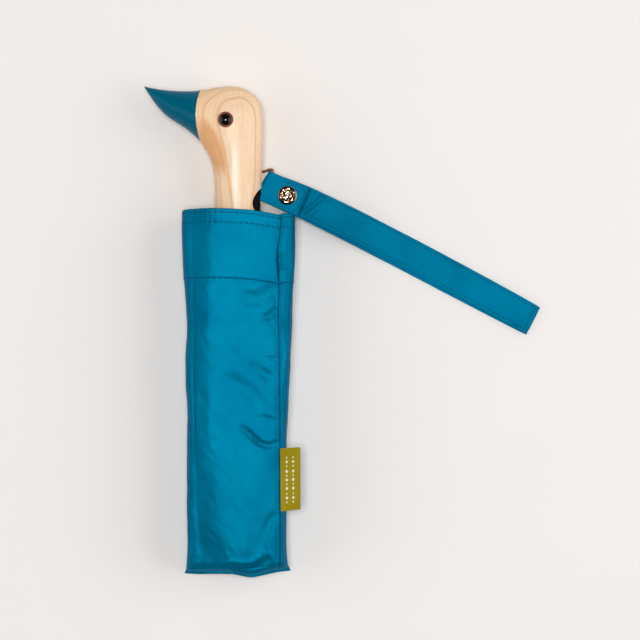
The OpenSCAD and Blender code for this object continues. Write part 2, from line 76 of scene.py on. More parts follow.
AXIS_Z = centre_mm("outer_tube")[2]
NECK_Y0 = box_mm("duck_head")[0][1]
EYE = centre_mm("eye_pupils")
HINGE = np.array(next(j for j in frame["joints"] if j["name"] == "strap_swing")["pos_m"]) / MM

# ---- Small tools ----


def smooth_curve(x, knots, values):
    """Smooth interpolation of values at knots, with flat ends outside them."""
    knots, values = np.asarray(knots, float), np.asarray(values, float)
    step = np.diff(knots)
    rise = np.diff(values, axis=0)
    slope = rise / step.reshape(-1, *[1] * (values.ndim - 1))
    ends = [slope[:1], (slope[1:] + slope[:-1]) / 2, slope[-1:]]
    tangent = np.concatenate(ends)
    x = np.clip(np.asarray(x, float), knots[0], knots[-1])
    i = np.clip(np.searchsorted(knots, x, side="right") - 1, 0, len(knots) - 2)
    shape = x.shape + (1,) * (values.ndim - 1)
    h = step[i].reshape(shape)
    t = (x - knots[i]).reshape(shape) / h
    return (
        (2 * t**3 - 3 * t**2 + 1) * values[i]
        + (t**3 - 2 * t**2 + t) * h * tangent[i]
        + (3 * t**2 - 2 * t**3) * values[i + 1]
        + (t**3 - t**2) * h * tangent[i + 1]
    )


def smooth_ring(ctrl, t):
    """Closed smooth curve through ctrl, an array (rows, points, axes), at parameters t in control steps."""
    n = ctrl.shape[1]
    i = np.floor(t).astype(int)
    f = (t - i)[None, :, None]
    p = [ctrl[:, (i + k) % n] for k in (-1, 0, 1, 2)]
    return 0.5 * (
        2 * p[1]
        + (p[2] - p[0]) * f
        + (2 * p[0] - 5 * p[1] + 4 * p[2] - p[3]) * f**2
        + (3 * p[1] - p[0] - 3 * p[2] + p[3]) * f**3
    )


def grid_normals(points):
    """Outward normals of rings (rows, columns, 3) along +Y; columns run from right over the top to left."""
    du = np.roll(points, -1, axis=1) - np.roll(points, 1, axis=1)
    dv = np.gradient(points, axis=0)
    n = np.cross(dv, du)
    return n / np.maximum(np.linalg.norm(n, axis=2, keepdims=True), 1e-9)


def polyline_distance(x, y, path):
    """Distance from points to a polyline in plan, and the share of its length where they are nearest."""
    best = np.full(x.shape, 1e9)
    at = np.zeros(x.shape)
    side = np.ones(x.shape)
    path = np.asarray(path, float)
    for k, (a, b) in enumerate(zip(path[:-1], path[1:])):
        d = b - a
        t = np.clip(((x - a[0]) * d[0] + (y - a[1]) * d[1]) / (d @ d), 0, 1)
        px, py = x - a[0] - t * d[0], y - a[1] - t * d[1]
        dist = np.hypot(px, py)
        closer = dist < best
        best = np.where(closer, dist, best)
        at = np.where(closer, (k + t) / (len(path) - 1), at)
        side = np.where(closer, np.sign(d[0] * py - d[1] * px), side)
    return best, at, side


def new_object(name, verts, faces, material):
    """Mesh object from points in mm."""
    mesh = bpy.data.meshes.new(name)
    mesh.from_pydata([tuple(v * MM) for v in np.asarray(verts, float)], [], faces)
    mesh.validate()
    mesh.update()
    mesh.shade_smooth()
    obj = bpy.data.objects.new(name, mesh)
    bpy.context.scene.collection.objects.link(obj)
    if material:
        mesh.materials.append(material)
    return obj


def set_uv(obj, uv):
    """One UV in metres for each vertex; weave patterns follow it."""
    layer = obj.data.uv_layers.new(name="weave")
    index = np.empty(len(obj.data.loops), int)
    obj.data.loops.foreach_get("vertex_index", index)
    layer.data.foreach_set("uv", np.asarray(uv, float)[index].astype(np.float32).ravel())


def grid_faces(rows, cols, start=0):
    """Quads of a grid whose columns run round."""
    return [
        (start + i * cols + k, start + (i + 1) * cols + k,
         start + (i + 1) * cols + (k + 1) % cols, start + i * cols + (k + 1) % cols)
        for i in range(rows - 1) for k in range(cols)
    ]


def tube_faces(rows, cols):
    """Quads of such a grid with one flat face at each end."""
    faces = grid_faces(rows, cols)
    faces.append(tuple(reversed(range(cols))))
    faces.append(tuple((rows - 1) * cols + k for k in range(cols)))
    return faces


def fan_faces(start, sides, hub, flip=False):
    """Triangles from a ring of points to a hub."""
    ring = [(start + k, start + (k + 1) % sides, hub) for k in range(sides)]
    return [(b, a, c) for a, b, c in ring] if flip else ring


def face_outwards(obj):
    """Turns every face of a closed mesh outwards."""
    bm = bmesh.new()
    bm.from_mesh(obj.data)
    bmesh.ops.recalc_face_normals(bm, faces=bm.faces)
    bm.to_mesh(obj.data)
    bm.free()
    return obj


def joined(parts):
    """One list of points and faces from several (points, faces)."""
    verts, faces, start = [], [], 0
    for v, f in parts:
        verts.append(np.asarray(v, float))
        faces += [tuple(start + i for i in face) for face in f]
        start += len(v)
    return np.concatenate(verts), faces


def capsule(a, b, radius, up, flat=0.7):
    """Thread stitch from a to b, a little flattened along up."""
    a, b, up = np.asarray(a, float), np.asarray(b, float), np.asarray(up, float)
    d = b - a
    length = np.linalg.norm(d)
    d = d / max(length, 1e-9)
    side = np.cross(d, up)
    side /= max(np.linalg.norm(side), 1e-9)
    rise = np.cross(side, d)
    rings = [(0.0, 0.35), (0.12, 0.8), (0.35, 1.0), (0.65, 1.0), (0.88, 0.8), (1.0, 0.35)]
    sides = 6
    verts = []
    for s, grow in rings:
        sink = (2 * s - 1) ** 4 * radius * 0.7
        for k in range(sides):
            w = 2 * math.pi * k / sides
            offset = side * math.cos(w) * radius * grow + rise * (math.sin(w) * radius * flat * grow - sink)
            verts.append(a + d * length * s + offset)
    return verts, tube_faces(len(rings), sides)


def stitch_row(points, normals, pitch, length, radius, lift):
    """Stitches along a run of points, each lying on the cloth."""
    points = np.asarray(points, float)
    step = np.linalg.norm(np.diff(points, axis=0), axis=1)
    along = np.concatenate([[0], np.cumsum(step)])
    count = int(along[-1] // pitch)
    start = (along[-1] - count * pitch) / 2 + (pitch - length) / 2
    parts = []

    def at(s):
        p = np.array([np.interp(s, along, points[:, k]) for k in range(3)])
        n = np.array([np.interp(s, along, normals[:, k]) for k in range(3)])
        return p + n * lift, n

    for i in range(count):
        s = start + i * pitch
        (a, n), (b, _) = at(s), at(s + length)
        parts.append(capsule(a, b, radius, n))
    return parts


def thread_object(name, parts):
    """All the stitches of one seam as one piece."""
    verts, faces = joined(parts)
    obj = new_object(name, verts, faces, MAT["thread"])
    set_uv(obj, verts[:, :2] * MM)
    return obj


def apply_modifiers(obj):
    """Bakes an object's modifiers into its mesh."""
    bpy.context.view_layer.update()
    mesh = bpy.data.meshes.new_from_object(obj.evaluated_get(bpy.context.evaluated_depsgraph_get()))
    obj.modifiers.clear()
    obj.data = mesh


# ---- Materials ----


def linear(r, g, b):
    """Linear colour from an sRGB one of 0 to 255."""
    shares = (c / 255 for c in (r, g, b))
    return tuple(((c + 0.055) / 1.055) ** 2.4 if c > 0.04 else c / 12.92 for c in shares) + (1.0,)


class Nodes:
    """Short way to write a node material."""

    def __init__(self, name):
        self.material = bpy.data.materials.new(name)
        self.material.use_nodes = True
        self.tree = self.material.node_tree
        self.shader = self.tree.nodes["Principled BSDF"]

    def add(self, kind, **values):
        """New node; a value goes to the input of that name, or else to the node's own setting."""
        node = self.tree.nodes.new(kind)
        for key, value in values.items():
            if key.replace("_", " ") in node.inputs:
                node.inputs[key.replace("_", " ")].default_value = value
            else:
                setattr(node, key, value)
        return node

    def link(self, a, b):
        self.tree.links.new(a, b)

    def set(self, **values):
        for key, value in values.items():
            self.shader.inputs[key.replace("_", " ")].default_value = value

    def math(self, operation, *values):
        node = self.add("ShaderNodeMath", operation=operation)
        for socket, value in zip(node.inputs, values):
            if isinstance(value, (int, float)):
                socket.default_value = value
            else:
                self.link(value, socket)
        return node.outputs[0]

    def ramp(self, fac, stops):
        node = self.add("ShaderNodeValToRGB")
        elements = node.color_ramp.elements
        while len(elements) < len(stops):
            elements.new(0.5)
        for element, (place, colour) in zip(elements, stops):
            element.position = place
            element.color = colour
        self.link(fac, node.inputs["Fac"])
        return node.outputs["Color"]

    def spread(self, fac, low, high, start=0.0, end=1.0):
        """Maps start to end onto low to high."""
        node = self.add("ShaderNodeMapRange", From_Min=start, From_Max=end, To_Min=low, To_Max=high)
        self.link(fac, node.inputs["Value"])
        return node.outputs["Result"]

    def mix(self, fac, a, b):
        node = self.add("ShaderNodeMix", data_type="RGBA")
        self.link(fac, node.inputs[0])
        for socket, value in ((node.inputs[6], a), (node.inputs[7], b)):
            if isinstance(value, tuple):
                socket.default_value = value
            else:
                self.link(value, socket)
        return node.outputs[2]

    def scaled(self, source, scale):
        mapping = self.add("ShaderNodeMapping", Scale=scale)
        self.link(source, mapping.inputs["Vector"])
        return mapping.outputs["Vector"]

    def coords(self, scale=(1, 1, 1)):
        """Place on the piece in metres."""
        return self.scaled(self.add("ShaderNodeTexCoord").outputs["Object"], scale)

    def weave_coords(self, scale=(1, 1, 1)):
        """Place on the flat cloth in metres, from the piece's own weave map."""
        return self.scaled(self.add("ShaderNodeUVMap", uv_map="weave").outputs["UV"], scale)

    def patch(self, centre, half, turn):
        """Soft ellipsoid mask: 1 in its middle, 0 outside; sizes in mm, turned about Z in degrees."""
        place = self.add("ShaderNodeMapping", vector_type="TEXTURE", Location=[c * MM for c in centre],
                         Rotation=(0, 0, math.radians(turn)), Scale=[c * MM for c in half])
        self.link(self.add("ShaderNodeTexCoord").outputs["Object"], place.inputs["Vector"])
        reach = self.add("ShaderNodeVectorMath", operation="LENGTH")
        self.link(place.outputs["Vector"], reach.inputs[0])
        mask = self.add("ShaderNodeMapRange", interpolation_type="SMOOTHSTEP", From_Min=1.0, From_Max=0.35)
        self.link(reach.outputs["Value"], mask.inputs["Value"])
        return mask.outputs["Result"]

    def noise(self, vector, scale, detail=3.0, roughness=0.5):
        node = self.add("ShaderNodeTexNoise", Scale=scale, Detail=detail, Roughness=roughness)
        self.link(vector, node.inputs["Vector"])
        return node.outputs["Fac"]

    def bump(self, height, strength, distance, normal=None):
        node = self.add("ShaderNodeBump", Strength=strength, Distance=distance)
        self.link(height, node.inputs["Height"])
        if normal is not None:
            self.link(normal, node.inputs["Normal"])
        return node.outputs["Normal"]

    def finish(self, *values):
        """Links colour, roughness and, if there is one, normal."""
        for value, key in zip(values, ("Base Color", "Roughness", "Normal")):
            self.link(value, self.shader.inputs[key])
        return self.material


def fabric(name, base, dark, light, metallic=0.6, rough=(0.4, 0.5), sheen=0.0, pitch=0.28, bump=0.35):
    """Plain-weave cloth: threads both ways, slubs, soft colour drift and a satin sheen."""
    m = Nodes(name)
    m.set(Metallic=metallic, Sheen_Weight=sheen, Sheen_Roughness=0.35, Sheen_Tint=(0.8, 0.9, 0.95, 1),
          Specular_Tint=(0.12, 0.5, 0.72, 1), Specular_IOR_Level=0.02)
    uv = m.weave_coords()
    split = m.add("ShaderNodeSeparateXYZ")
    m.link(uv, split.inputs[0])
    turns = 2 * math.pi / (pitch * MM)
    warp = m.math("SINE", m.math("MULTIPLY", split.outputs["X"], turns))
    weft = m.math("SINE", m.math("MULTIPLY", split.outputs["Y"], turns))
    weave = m.math("MULTIPLY", warp, weft)
    weave01 = m.math("MULTIPLY_ADD", weave, 0.5, 0.5)
    space = m.coords()
    slub_long = m.noise(m.weave_coords((1, 0.12, 1)), 2400, 2.0)
    slub_across = m.noise(m.weave_coords((0.12, 1, 1)), 2400, 2.0)
    slub = m.math("MULTIPLY", m.math("ADD", slub_long, slub_across), 0.5)
    drift = m.noise(space, 38, 3.0)
    fine = m.noise(space, 760, 3.0)
    colour = m.ramp(drift, [(0.3, dark), (0.5, base), (0.72, light)])
    colour = m.mix(m.spread(slub, 0.0, 0.35), colour, dark)
    colour = m.mix(m.spread(weave01, 0.0, 0.12), colour, light)
    colour = m.mix(m.spread(fine, -0.2, 0.75), colour, dark)
    rough_value = m.spread(m.math("MULTIPLY", m.math("ADD", drift, fine), 0.5), *rough)
    cloth = m.bump(weave01, bump, 0.00006)
    cloth = m.bump(slub, 0.25, 0.00012, cloth)
    return m.finish(colour, rough_value, cloth)


def wood_material():
    """Pale straight-grained wood; its growth rings lie nearly flat, so they show as contour lines; painted
    light makes it paler on top, with a painted highlight along the neck.
    """
    m = Nodes("pale_wood")
    m.set(Specular_IOR_Level=0.4, Coat_Weight=0.12, Coat_Roughness=0.32)
    warped = m.noise(m.coords((1.0, 0.35, 1.0)), 22, 2.0)
    split = m.add("ShaderNodeSeparateXYZ")
    m.link(m.coords(), split.inputs[0])
    tilt = m.math("ADD", split.outputs["Z"], m.math("MULTIPLY", split.outputs["X"], 0.2))
    drift = m.math("MULTIPLY", m.math("SUBTRACT", warped, 0.5), 0.013)
    level = m.math("ADD", tilt, drift)

    def ring_lines(pitch, sharpness):
        wave = m.math("SINE", m.math("MULTIPLY", level, 2 * math.pi / pitch))
        return m.math("POWER", m.math("MULTIPLY_ADD", wave, 0.5, 0.5), sharpness)

    late, early = ring_lines(0.0052, 11.0), ring_lines(0.0017, 2.0)
    fibre = m.noise(m.coords((1, 0.2, 1)), 1500, 3.0, 0.6)
    streak = m.noise(m.coords((1, 0.09, 1)), 520, 4.0, 0.6)
    blotch = m.noise(m.coords((1, 0.5, 1)), 60, 3.0)
    # Painted light and shade: tan low on the sides, paler with height and a little towards +X, like a lit top
    # and shaded lower sides
    high = m.spread(level, 0.0, 1.0, start=0.022, end=0.041)
    body = m.ramp(high, [(0.0, linear(233, 190, 146)), (0.3, linear(239, 202, 162)),
                         (0.62, linear(247, 221, 190)), (1.0, linear(247, 226, 200))])
    tan = m.math("MULTIPLY", m.patch((-16.5, 159.5, 33), (8.5, 25, 30), 22), m.spread(streak, -0.7, 3.4))
    body = m.mix(tan, body, linear(212, 142, 78))
    body = m.mix(m.spread(blotch, 0.0, 0.4), body, linear(236, 192, 146))
    body = m.mix(m.spread(late, 0.0, 0.62), body, linear(214, 160, 110))
    body = m.mix(m.spread(early, 0.0, 0.14), body, linear(214, 160, 110))
    body = m.mix(m.spread(streak, -0.25, 0.7), body, linear(232, 188, 140))
    body = m.mix(m.spread(fibre, -0.22, 0.42), body, linear(206, 152, 104))
    # Pale stripe down the top of the neck: partly paler wood, partly a painted highlight where the lamp above
    # reflects
    pale = m.math("MULTIPLY", m.patch((-1.8, 138, 38), (2.6, 27, 12), 1), m.spread(streak, 0.5, 1.0))
    body = m.mix(pale, body, linear(253, 241, 224))
    rough = m.spread(streak, 0.34, 0.52)
    grain = m.bump(fibre, 0.12, 0.00008)
    return m.finish(body, rough, grain)


def gloss(name, base, dark, rough, specular, coat=0.0, wobble=0.06, tint=(1, 1, 1, 1)):
    """Lacquer or moulded gloss with faint unevenness."""
    m = Nodes(name)
    m.set(Coat_Weight=coat, Coat_Roughness=0.03, Specular_IOR_Level=specular, Specular_Tint=tint)
    space = m.coords()
    drift = m.noise(space, 60, 3.0)
    dust = m.noise(space, 1500, 2.0)
    colour = m.mix(m.spread(drift, 0.0, 0.6), base, dark)
    rough_value = m.spread(m.math("MULTIPLY", m.math("ADD", drift, dust), 0.5), *rough)
    return m.finish(colour, rough_value, m.bump(drift, wobble, 0.0006))


def plastic(name, base, rough=(0.38, 0.55)):
    """Moulded plastic with a fine spark-eroded grain."""
    m = Nodes(name)
    m.set(Specular_IOR_Level=0.06)
    space = m.coords()
    grain = m.noise(space, 3200, 2.0)
    drift = m.noise(space, 120, 3.0)
    lighter = tuple(c * 1.7 + 0.004 for c in base[:3]) + (1.0,)
    colour = m.mix(m.spread(drift, 0.0, 0.5), base, lighter)
    return m.finish(colour, m.spread(drift, *rough), m.bump(grain, 0.25, 0.00005))


def metal(name, base, dark, rough, along=(1, 1, 1), brushed=900):
    """Drawn or plated metal with fine lines, drawn out by along, and a few dull patches."""
    m = Nodes(name)
    m.set(Metallic=1.0)
    lines = m.noise(m.coords(along), brushed, 3.0)
    drift = m.noise(m.coords(), 160, 3.0)
    colour = m.mix(m.spread(drift, 0.0, 0.55), base, dark)
    rough_value = m.spread(m.math("MULTIPLY", m.math("ADD", lines, drift), 0.5), *rough)
    return m.finish(colour, rough_value, m.bump(lines, 0.08, 0.00004))


TEAL = linear(0, 109, 139)
TEAL_DARK = linear(0, 94, 128)
TEAL_LIGHT = linear(0, 119, 150)
MAT = {
    "sleeve": fabric("sleeve_cloth", TEAL, TEAL_DARK, TEAL_LIGHT),
    "lining": fabric("lining_cloth", linear(0, 104, 136), linear(0, 92, 122), linear(0, 112, 146),
                     metallic=0.1, rough=(0.6, 0.75), sheen=0.1),
    "canopy": fabric("canopy_cloth", linear(0, 102, 132), linear(0, 90, 118), linear(0, 111, 143)),
    "strap": fabric("strap_cloth", linear(0, 115, 151), linear(0, 103, 137), linear(0, 123, 161),
                    metallic=0.26, rough=(0.42, 0.52), pitch=0.34, bump=0.5),
    "thread": fabric("thread", linear(0, 66, 94), linear(0, 54, 80), linear(0, 80, 110),
                     metallic=0.1, rough=(0.5, 0.65), sheen=0.2, pitch=0.2, bump=0.6),
    "label": fabric("label_cloth", linear(152, 137, 26), linear(140, 125, 20), linear(162, 147, 34),
                    metallic=0.0, rough=(0.6, 0.75), sheen=0.15, pitch=0.3, bump=0.6),
    "label_thread": fabric("label_thread", linear(226, 222, 196), linear(206, 200, 170),
                           linear(236, 232, 210), metallic=0.0, rough=(0.6, 0.75), sheen=0.1, pitch=0.2,
                           bump=0.5),
    "wood": wood_material(),
    "beak": gloss("beak_lacquer", linear(0, 90, 116), linear(0, 78, 101), (0.06, 0.12), 0.2, coat=0.04,
                  tint=(0.25, 0.75, 0.85, 1)),
    "iris": gloss("eye_brown", linear(124, 60, 30), linear(86, 38, 20), (0.3, 0.4), 0.08),
    "pupil": gloss("eye_black", linear(5, 4, 5), linear(3, 3, 3), (0.03, 0.06), 0.3, coat=0.1,
                   wobble=0.0),
    "black": plastic("black_plastic", linear(8, 8, 9)),
    "copper": metal("copper_wire", linear(206, 142, 112), linear(164, 100, 72), (0.18, 0.34), brushed=500),
    "nickel": metal("bright_nickel", linear(184, 168, 156), linear(150, 122, 104), (0.1, 0.2)),
    "snap": metal("pressed_snap", linear(152, 132, 116), linear(108, 80, 62), (0.06, 0.13)),
    "steel": metal("drawn_steel", linear(188, 190, 194), linear(156, 158, 162), (0.26, 0.42), (1, 0.05, 1)),
    "chrome": metal("bright_tube", linear(214, 216, 220), linear(196, 198, 202), (0.08, 0.2), (1, 0.05, 1)),
}

# Which material each carried-over CAD node takes
CAD_LOOKS = {
    "wood": ["duck_head"], "beak": ["beak"], "iris": ["eye_irises"], "pupil": ["eye_pupils"],
    "black": ["button_housing", "button", "tip_cup", "inner_collar", "middle_collar", "middle_bush",
              "outer_bush", "runner", "crown", "top_cap", "rib_tips"],
    "copper": ["strap_staple"],
    "chrome": ["inner_tube", "middle_tube", "outer_tube"],
    "steel": ["button_spring", "handle_pin", "main_spring", "runner_wire", "crown_wire", "crown_pin",
              "inner_ribs", "stretchers", "middle_ribs", "outer_ribs", "control_wires"],
    "nickel": ["rib_rivets", "tie_snap", "snap_cap", "snap_socket", "snap_stud", "snap_post"],
}


def dress_cad():
    """Gives each carried-over CAD node its material."""
    for look, nodes in CAD_LOOKS.items():
        for name in nodes:
            slots = frame["nodes"][name].data.materials
            if not len(slots):
                slots.append(MAT[look])
            for i in range(len(slots)):
                slots[i] = MAT[look]


# ---- Camera, light and table ----


def make_camera():
    """Camera straight above the object."""
    data = bpy.data.cameras.new("camera")
    camera = bpy.data.objects.new("camera", data)
    bpy.context.scene.collection.objects.link(camera)
    # The picture spans 416 mm at the shaft's height, seen from 1.5 m above
    distance, span = 1.5, 0.416
    data.sensor_width = 36
    data.lens = data.sensor_width * distance / span
    data.clip_start = 0.05
    camera.location = (0.0531, 0.0478, AXIS_Z * MM + distance)
    bpy.context.scene.camera = camera


def area_light(name, place, target, size, power, colour):
    data = bpy.data.lights.new(name, "AREA")
    data.size = size
    data.energy = power
    data.color = colour
    light = bpy.data.objects.new(name, data)
    bpy.context.scene.collection.objects.link(light)
    light.location = place
    light.rotation_euler = (Vector(target) - Vector(place)).to_track_quat("-Z", "Y").to_euler()


def make_world():
    """Studio surroundings: brightest at the horizon, dim overhead."""
    world = bpy.data.worlds.new("studio")
    bpy.context.scene.world = world
    world.use_nodes = True
    tree = world.node_tree
    direction = tree.nodes.new("ShaderNodeTexCoord")
    split = tree.nodes.new("ShaderNodeSeparateXYZ")
    ramp = tree.nodes.new("ShaderNodeValToRGB")
    tree.links.new(direction.outputs["Generated"], split.inputs[0])
    tree.links.new(split.outputs["Z"], ramp.inputs["Fac"])
    tree.links.new(ramp.outputs["Color"], tree.nodes["Background"].inputs["Color"])
    stops = ramp.color_ramp.elements
    stops.new(0.5)
    stops.new(0.9)
    for stop, place, level in zip(stops, (0.24, 0.5, 0.86, 0.97), (0.75, 0.16, 0.08, 0.05)):
        stop.position = place
        stop.color = (level, level * 0.995, level * 0.99, 1)


def make_stage():
    """Soft studio light and a pale paper table just under the umbrella."""
    make_world()
    view = bpy.context.scene.view_settings
    view.view_transform = "Standard"
    view.look = "None"

    middle = (0.05, 0.04, 0.02)
    area_light("overhead", (0.0, 0.08, 1.9), (0.0, 0.05, 0.02), 0.42, 20.0, (1.0, 0.985, 0.975))
    area_light("key_left", (-1.7, 0.1, 1.1), middle, 1.8, 11, (1.0, 0.985, 0.97))
    area_light("fill_right", (1.5, 0.15, 1.2), middle, 1.6, 15, (1.0, 0.985, 0.975))

    half, z = 3.0, -0.0002
    corners = np.array([(-half, -half, z), (half, -half, z), (half, half, z), (-half, half, z)]) / MM
    table = new_object("table", corners, [(0, 1, 2, 3)], None)
    m = Nodes("table_paper")
    m.set(Specular_IOR_Level=0.15)
    paper = m.noise(m.coords(), 14)
    colour = m.mix(m.spread(paper, 0.0, 1.0), (0.848, 0.823, 0.803, 1), (0.833, 0.808, 0.791, 1))
    table.data.materials.append(m.finish(colour, m.spread(paper, 0.75, 0.85)))


# ---- Duck head and beak ----

# Sections from the neck to the beak's tip, in mm: back x, back y, front x, front y, half thickness
CARVING = [
    (15.2, 97, -15.2, 97, 15.2), (15.2, 112, -15.2, 112, 15.2), (15.2, 128, -15.2, 128, 15.2),
    (15.2, 137, -15.2, 137, 15.2), (15.3, 143, -15.7, 142.5, 15.2), (15.45, 150, -16.7, 147.7, 15.3),
    (15.65, 158, -18.3, 152.7, 15.5), (15.8, 166, -20.2, 156.8, 15.8), (15.9, 174, -21.7, 159.4, 16.1),
    (15.7, 180.5, -22.6, 161.0, 16.2), (14.9, 186.2, -23.2, 161.9, 16.2), (12.9, 190.8, -23.6, 162.5, 16.1),
    (9.6, 194.6, -23.9, 162.9, 15.8), (5.4, 197.3, -24.2, 163.3, 15.4), (0.2, 199.0, -24.5, 163.6, 14.9),
    (-5.6, 199.6, -24.8, 164.0, 14.3), (-11.6, 199.1, -25.3, 164.5, 13.6), (-18.1, 198.1, -26.0, 165.1, 12.9),
    (-24.4, 197.0, -27.0, 166.1, 12.1), (-29.5, 196.5, -28.9, 167.9, 11.3),
    (-35.6, 196.4, -33.4, 171.6, 10.0),
    (-41.0, 196.6, -39.0, 175.4, 8.7), (-46.0, 197.0, -44.6, 179.0, 7.4), (-50.5, 197.5, -49.3, 183.1, 6.1),
    (-54.5, 198.1, -53.8, 188.3, 4.7), (-57.8, 198.7, -57.2, 193.2, 3.2), (-60.0, 199.2, -59.6, 197.0, 1.7),
    (-61.0, 199.5, -60.9, 199.0, 0.6),
]
# The beak's paint ends on a circle in plan
PAINT_X, PAINT_Y, PAINT_R = 25.9, 180.0, 53.0
# Outer end of the button's pocket, middle of each eye socket off the axis, and the staple's holes
POCKET_END_X, SOCKET_Z, STAPLE_HOLE_X = 22.0, 19.4, 13.0
STAPLE_LEGS_Y = (144.2, 135.4)


def carving_point(s, angle):
    """Point of the carving's surface at section s, where angle 0 is the back and 90 degrees is up."""
    rows = smooth_curve(s, np.arange(len(CARVING)), np.array(CARVING))
    bx, by, fx, fy, half = np.moveaxis(rows, -1, 0)
    c, w = np.cos(angle), np.sin(angle)
    x = (bx + fx) / 2 + (bx - fx) / 2 * c
    y = (by + fy) / 2 + (by - fy) / 2 * c
    return np.stack([x, y, AXIS_Z + half * w], axis=-1)


def paint_line(angles):
    """Section at which each line along the carving crosses the paint line."""
    s = np.linspace(10, 23, 500)
    found = []
    for a in angles:
        p = carving_point(s, np.full(s.shape, a))
        out = np.hypot(p[:, 0] - PAINT_X, p[:, 1] - PAINT_Y) - PAINT_R
        i = max(int(np.argmax(out > 0)), 1)
        found.append(np.interp(0.0, out[i - 1:i + 1], s[i - 1:i + 1]))
    return np.array(found)


def make_head():
    """The carving, split at the paint line into the wooden head and the lacquered beak."""
    sides = 96
    angles = 2 * np.pi * np.arange(sides) / sides
    edge = paint_line(angles)

    rows = 150
    share = np.linspace(0, 1, rows)
    head = carving_point(share[:, None] * edge[None, :], angles[None, :].repeat(rows, 0))
    verts = head.reshape(-1, 3)
    faces = grid_faces(rows, sides)
    # The end face runs back under the beak's edge
    middle = head[-1].mean(axis=0)
    inner = middle + (head[-1] - middle) * 0.97
    verts = np.concatenate([verts, inner, [middle + np.array([-1.5, 0, 0])], [head[0].mean(axis=0)]])
    faces += grid_faces(2, sides, start=(rows - 1) * sides)
    faces += fan_faces(rows * sides, sides, len(verts) - 2)
    faces += fan_faces(0, sides, len(verts) - 1, flip=True)
    body = face_outwards(new_object("duck_head_carving", verts, faces, MAT["wood"]))
    cut_holes(body)
    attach(body, "handle")
    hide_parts("duck_head")

    # The beak stands a hair proud of the wood, with a rounded edge
    rows = 90
    share = np.linspace(0, 1, rows) ** 0.9
    last = len(CARVING) - 1
    along = edge[None, :] + share[:, None] * (last - edge)[None, :]
    beak = carving_point(along, angles[None, :].repeat(rows, 0))
    normal = grid_normals(beak)
    swell = 0.16 * np.clip(share * 60, 0, 1) ** 0.5
    beak = beak + normal * swell[:, None, None]
    rim = middle + (beak[0] - middle) * 0.985
    tip = beak[-1].mean(axis=0) + np.array([-0.35, 0.12, 0])
    verts = np.concatenate([beak.reshape(-1, 3), rim, [tip], [middle + np.array([-1.4, 0, 0])]])
    start = rows * sides
    faces = grid_faces(rows, sides)
    faces += [((k + 1) % sides, k, start + k, start + (k + 1) % sides) for k in range(sides)]
    faces += fan_faces((rows - 1) * sides, sides, start + sides)
    faces += fan_faces(start, sides, start + sides + 1, flip=True)
    obj = face_outwards(new_object("beak_lacquered", verts, faces, MAT["beak"]))
    obj.data.set_sharp_from_angle(angle=math.radians(50))
    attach(obj, "handle")
    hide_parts("beak")


def cylinder_tool(name, centre, axis, radius, length, sides=64):
    """Closed cylinder used to cut a hole."""
    axis = Vector(axis).normalized()
    across = axis.orthogonal().normalized() if abs(axis.x) < 0.9 else Vector((0, 1, 0))
    other = axis.cross(across)
    verts = []
    for end in (-0.5, 0.5):
        for k in range(sides):
            w = 2 * math.pi * k / sides
            p = Vector(centre) + axis * length * end
            p += across * radius * math.cos(w) + other * radius * math.sin(w)
            verts.append(tuple(p))
    return face_outwards(new_object(name, verts, tube_faces(2, sides), None))


def cut_holes(body):
    """Cuts the button's pocket, the eye sockets, the staple's holes and the shaft's bore."""
    low, high = box_mm("button_housing")
    housing = (low + high) / 2
    half = (high - low) / 2 + 0.03
    tools = [oval_tool("pocket_tool", housing[1], half[1], half[2], low[0], POCKET_END_X)]
    eye_low, eye_high = box_mm("eye_irises")
    socket_r = (eye_high[0] - eye_low[0]) / 2 + 0.08
    tools += [cylinder_tool("eye_tool", (EYE[0], EYE[1], AXIS_Z + s * SOCKET_Z), (0, 0, 1), socket_r, 10)
              for s in (-1, 1)]
    tube_low, tube_high = box_mm("inner_tube")
    tools.append(cylinder_tool("bore_tool", (0, NECK_Y0 + 20, AXIS_Z), (0, 1, 0),
                               (tube_high[0] - tube_low[0]) / 2 + 0.05, 50))
    wire_low, wire_high = box_mm("strap_staple")
    wire_r = (wire_high[2] - wire_low[2]) / 2
    for y in STAPLE_LEGS_Y:
        tools.append(cylinder_tool("wire_tool", (STAPLE_HOLE_X, y, AXIS_Z), (1, 0, 0), wire_r + 0.05, 8, 24))
    for tool in tools:
        modifier = body.modifiers.new("cut", "BOOLEAN")
        modifier.operation = "DIFFERENCE"
        modifier.solver = "EXACT"
        modifier.object = tool
    apply_modifiers(body)
    body.data.shade_smooth()
    body.data.set_sharp_from_angle(angle=math.radians(38))
    for tool in tools:
        bpy.data.objects.remove(tool)


def oval_tool(name, y, half_y, half_z, x0, x1, steps=24):
    """Prism along x with a long oval outline, two round ends joined by straight sides."""
    ring = []
    for side in (1, -1):
        for k in range(steps + 1):
            w = math.pi * (k / steps) - math.pi / 2
            rise = half_z - half_y + half_y * math.cos(w)
            ring.append((y + half_y * math.sin(w) * side, AXIS_Z + side * rise))
    verts = [(x, y_ring, z_ring) for x in (x0, x1) for y_ring, z_ring in ring]
    return face_outwards(new_object(name, verts, tube_faces(2, len(ring)), None))


# ---- Sleeve ----

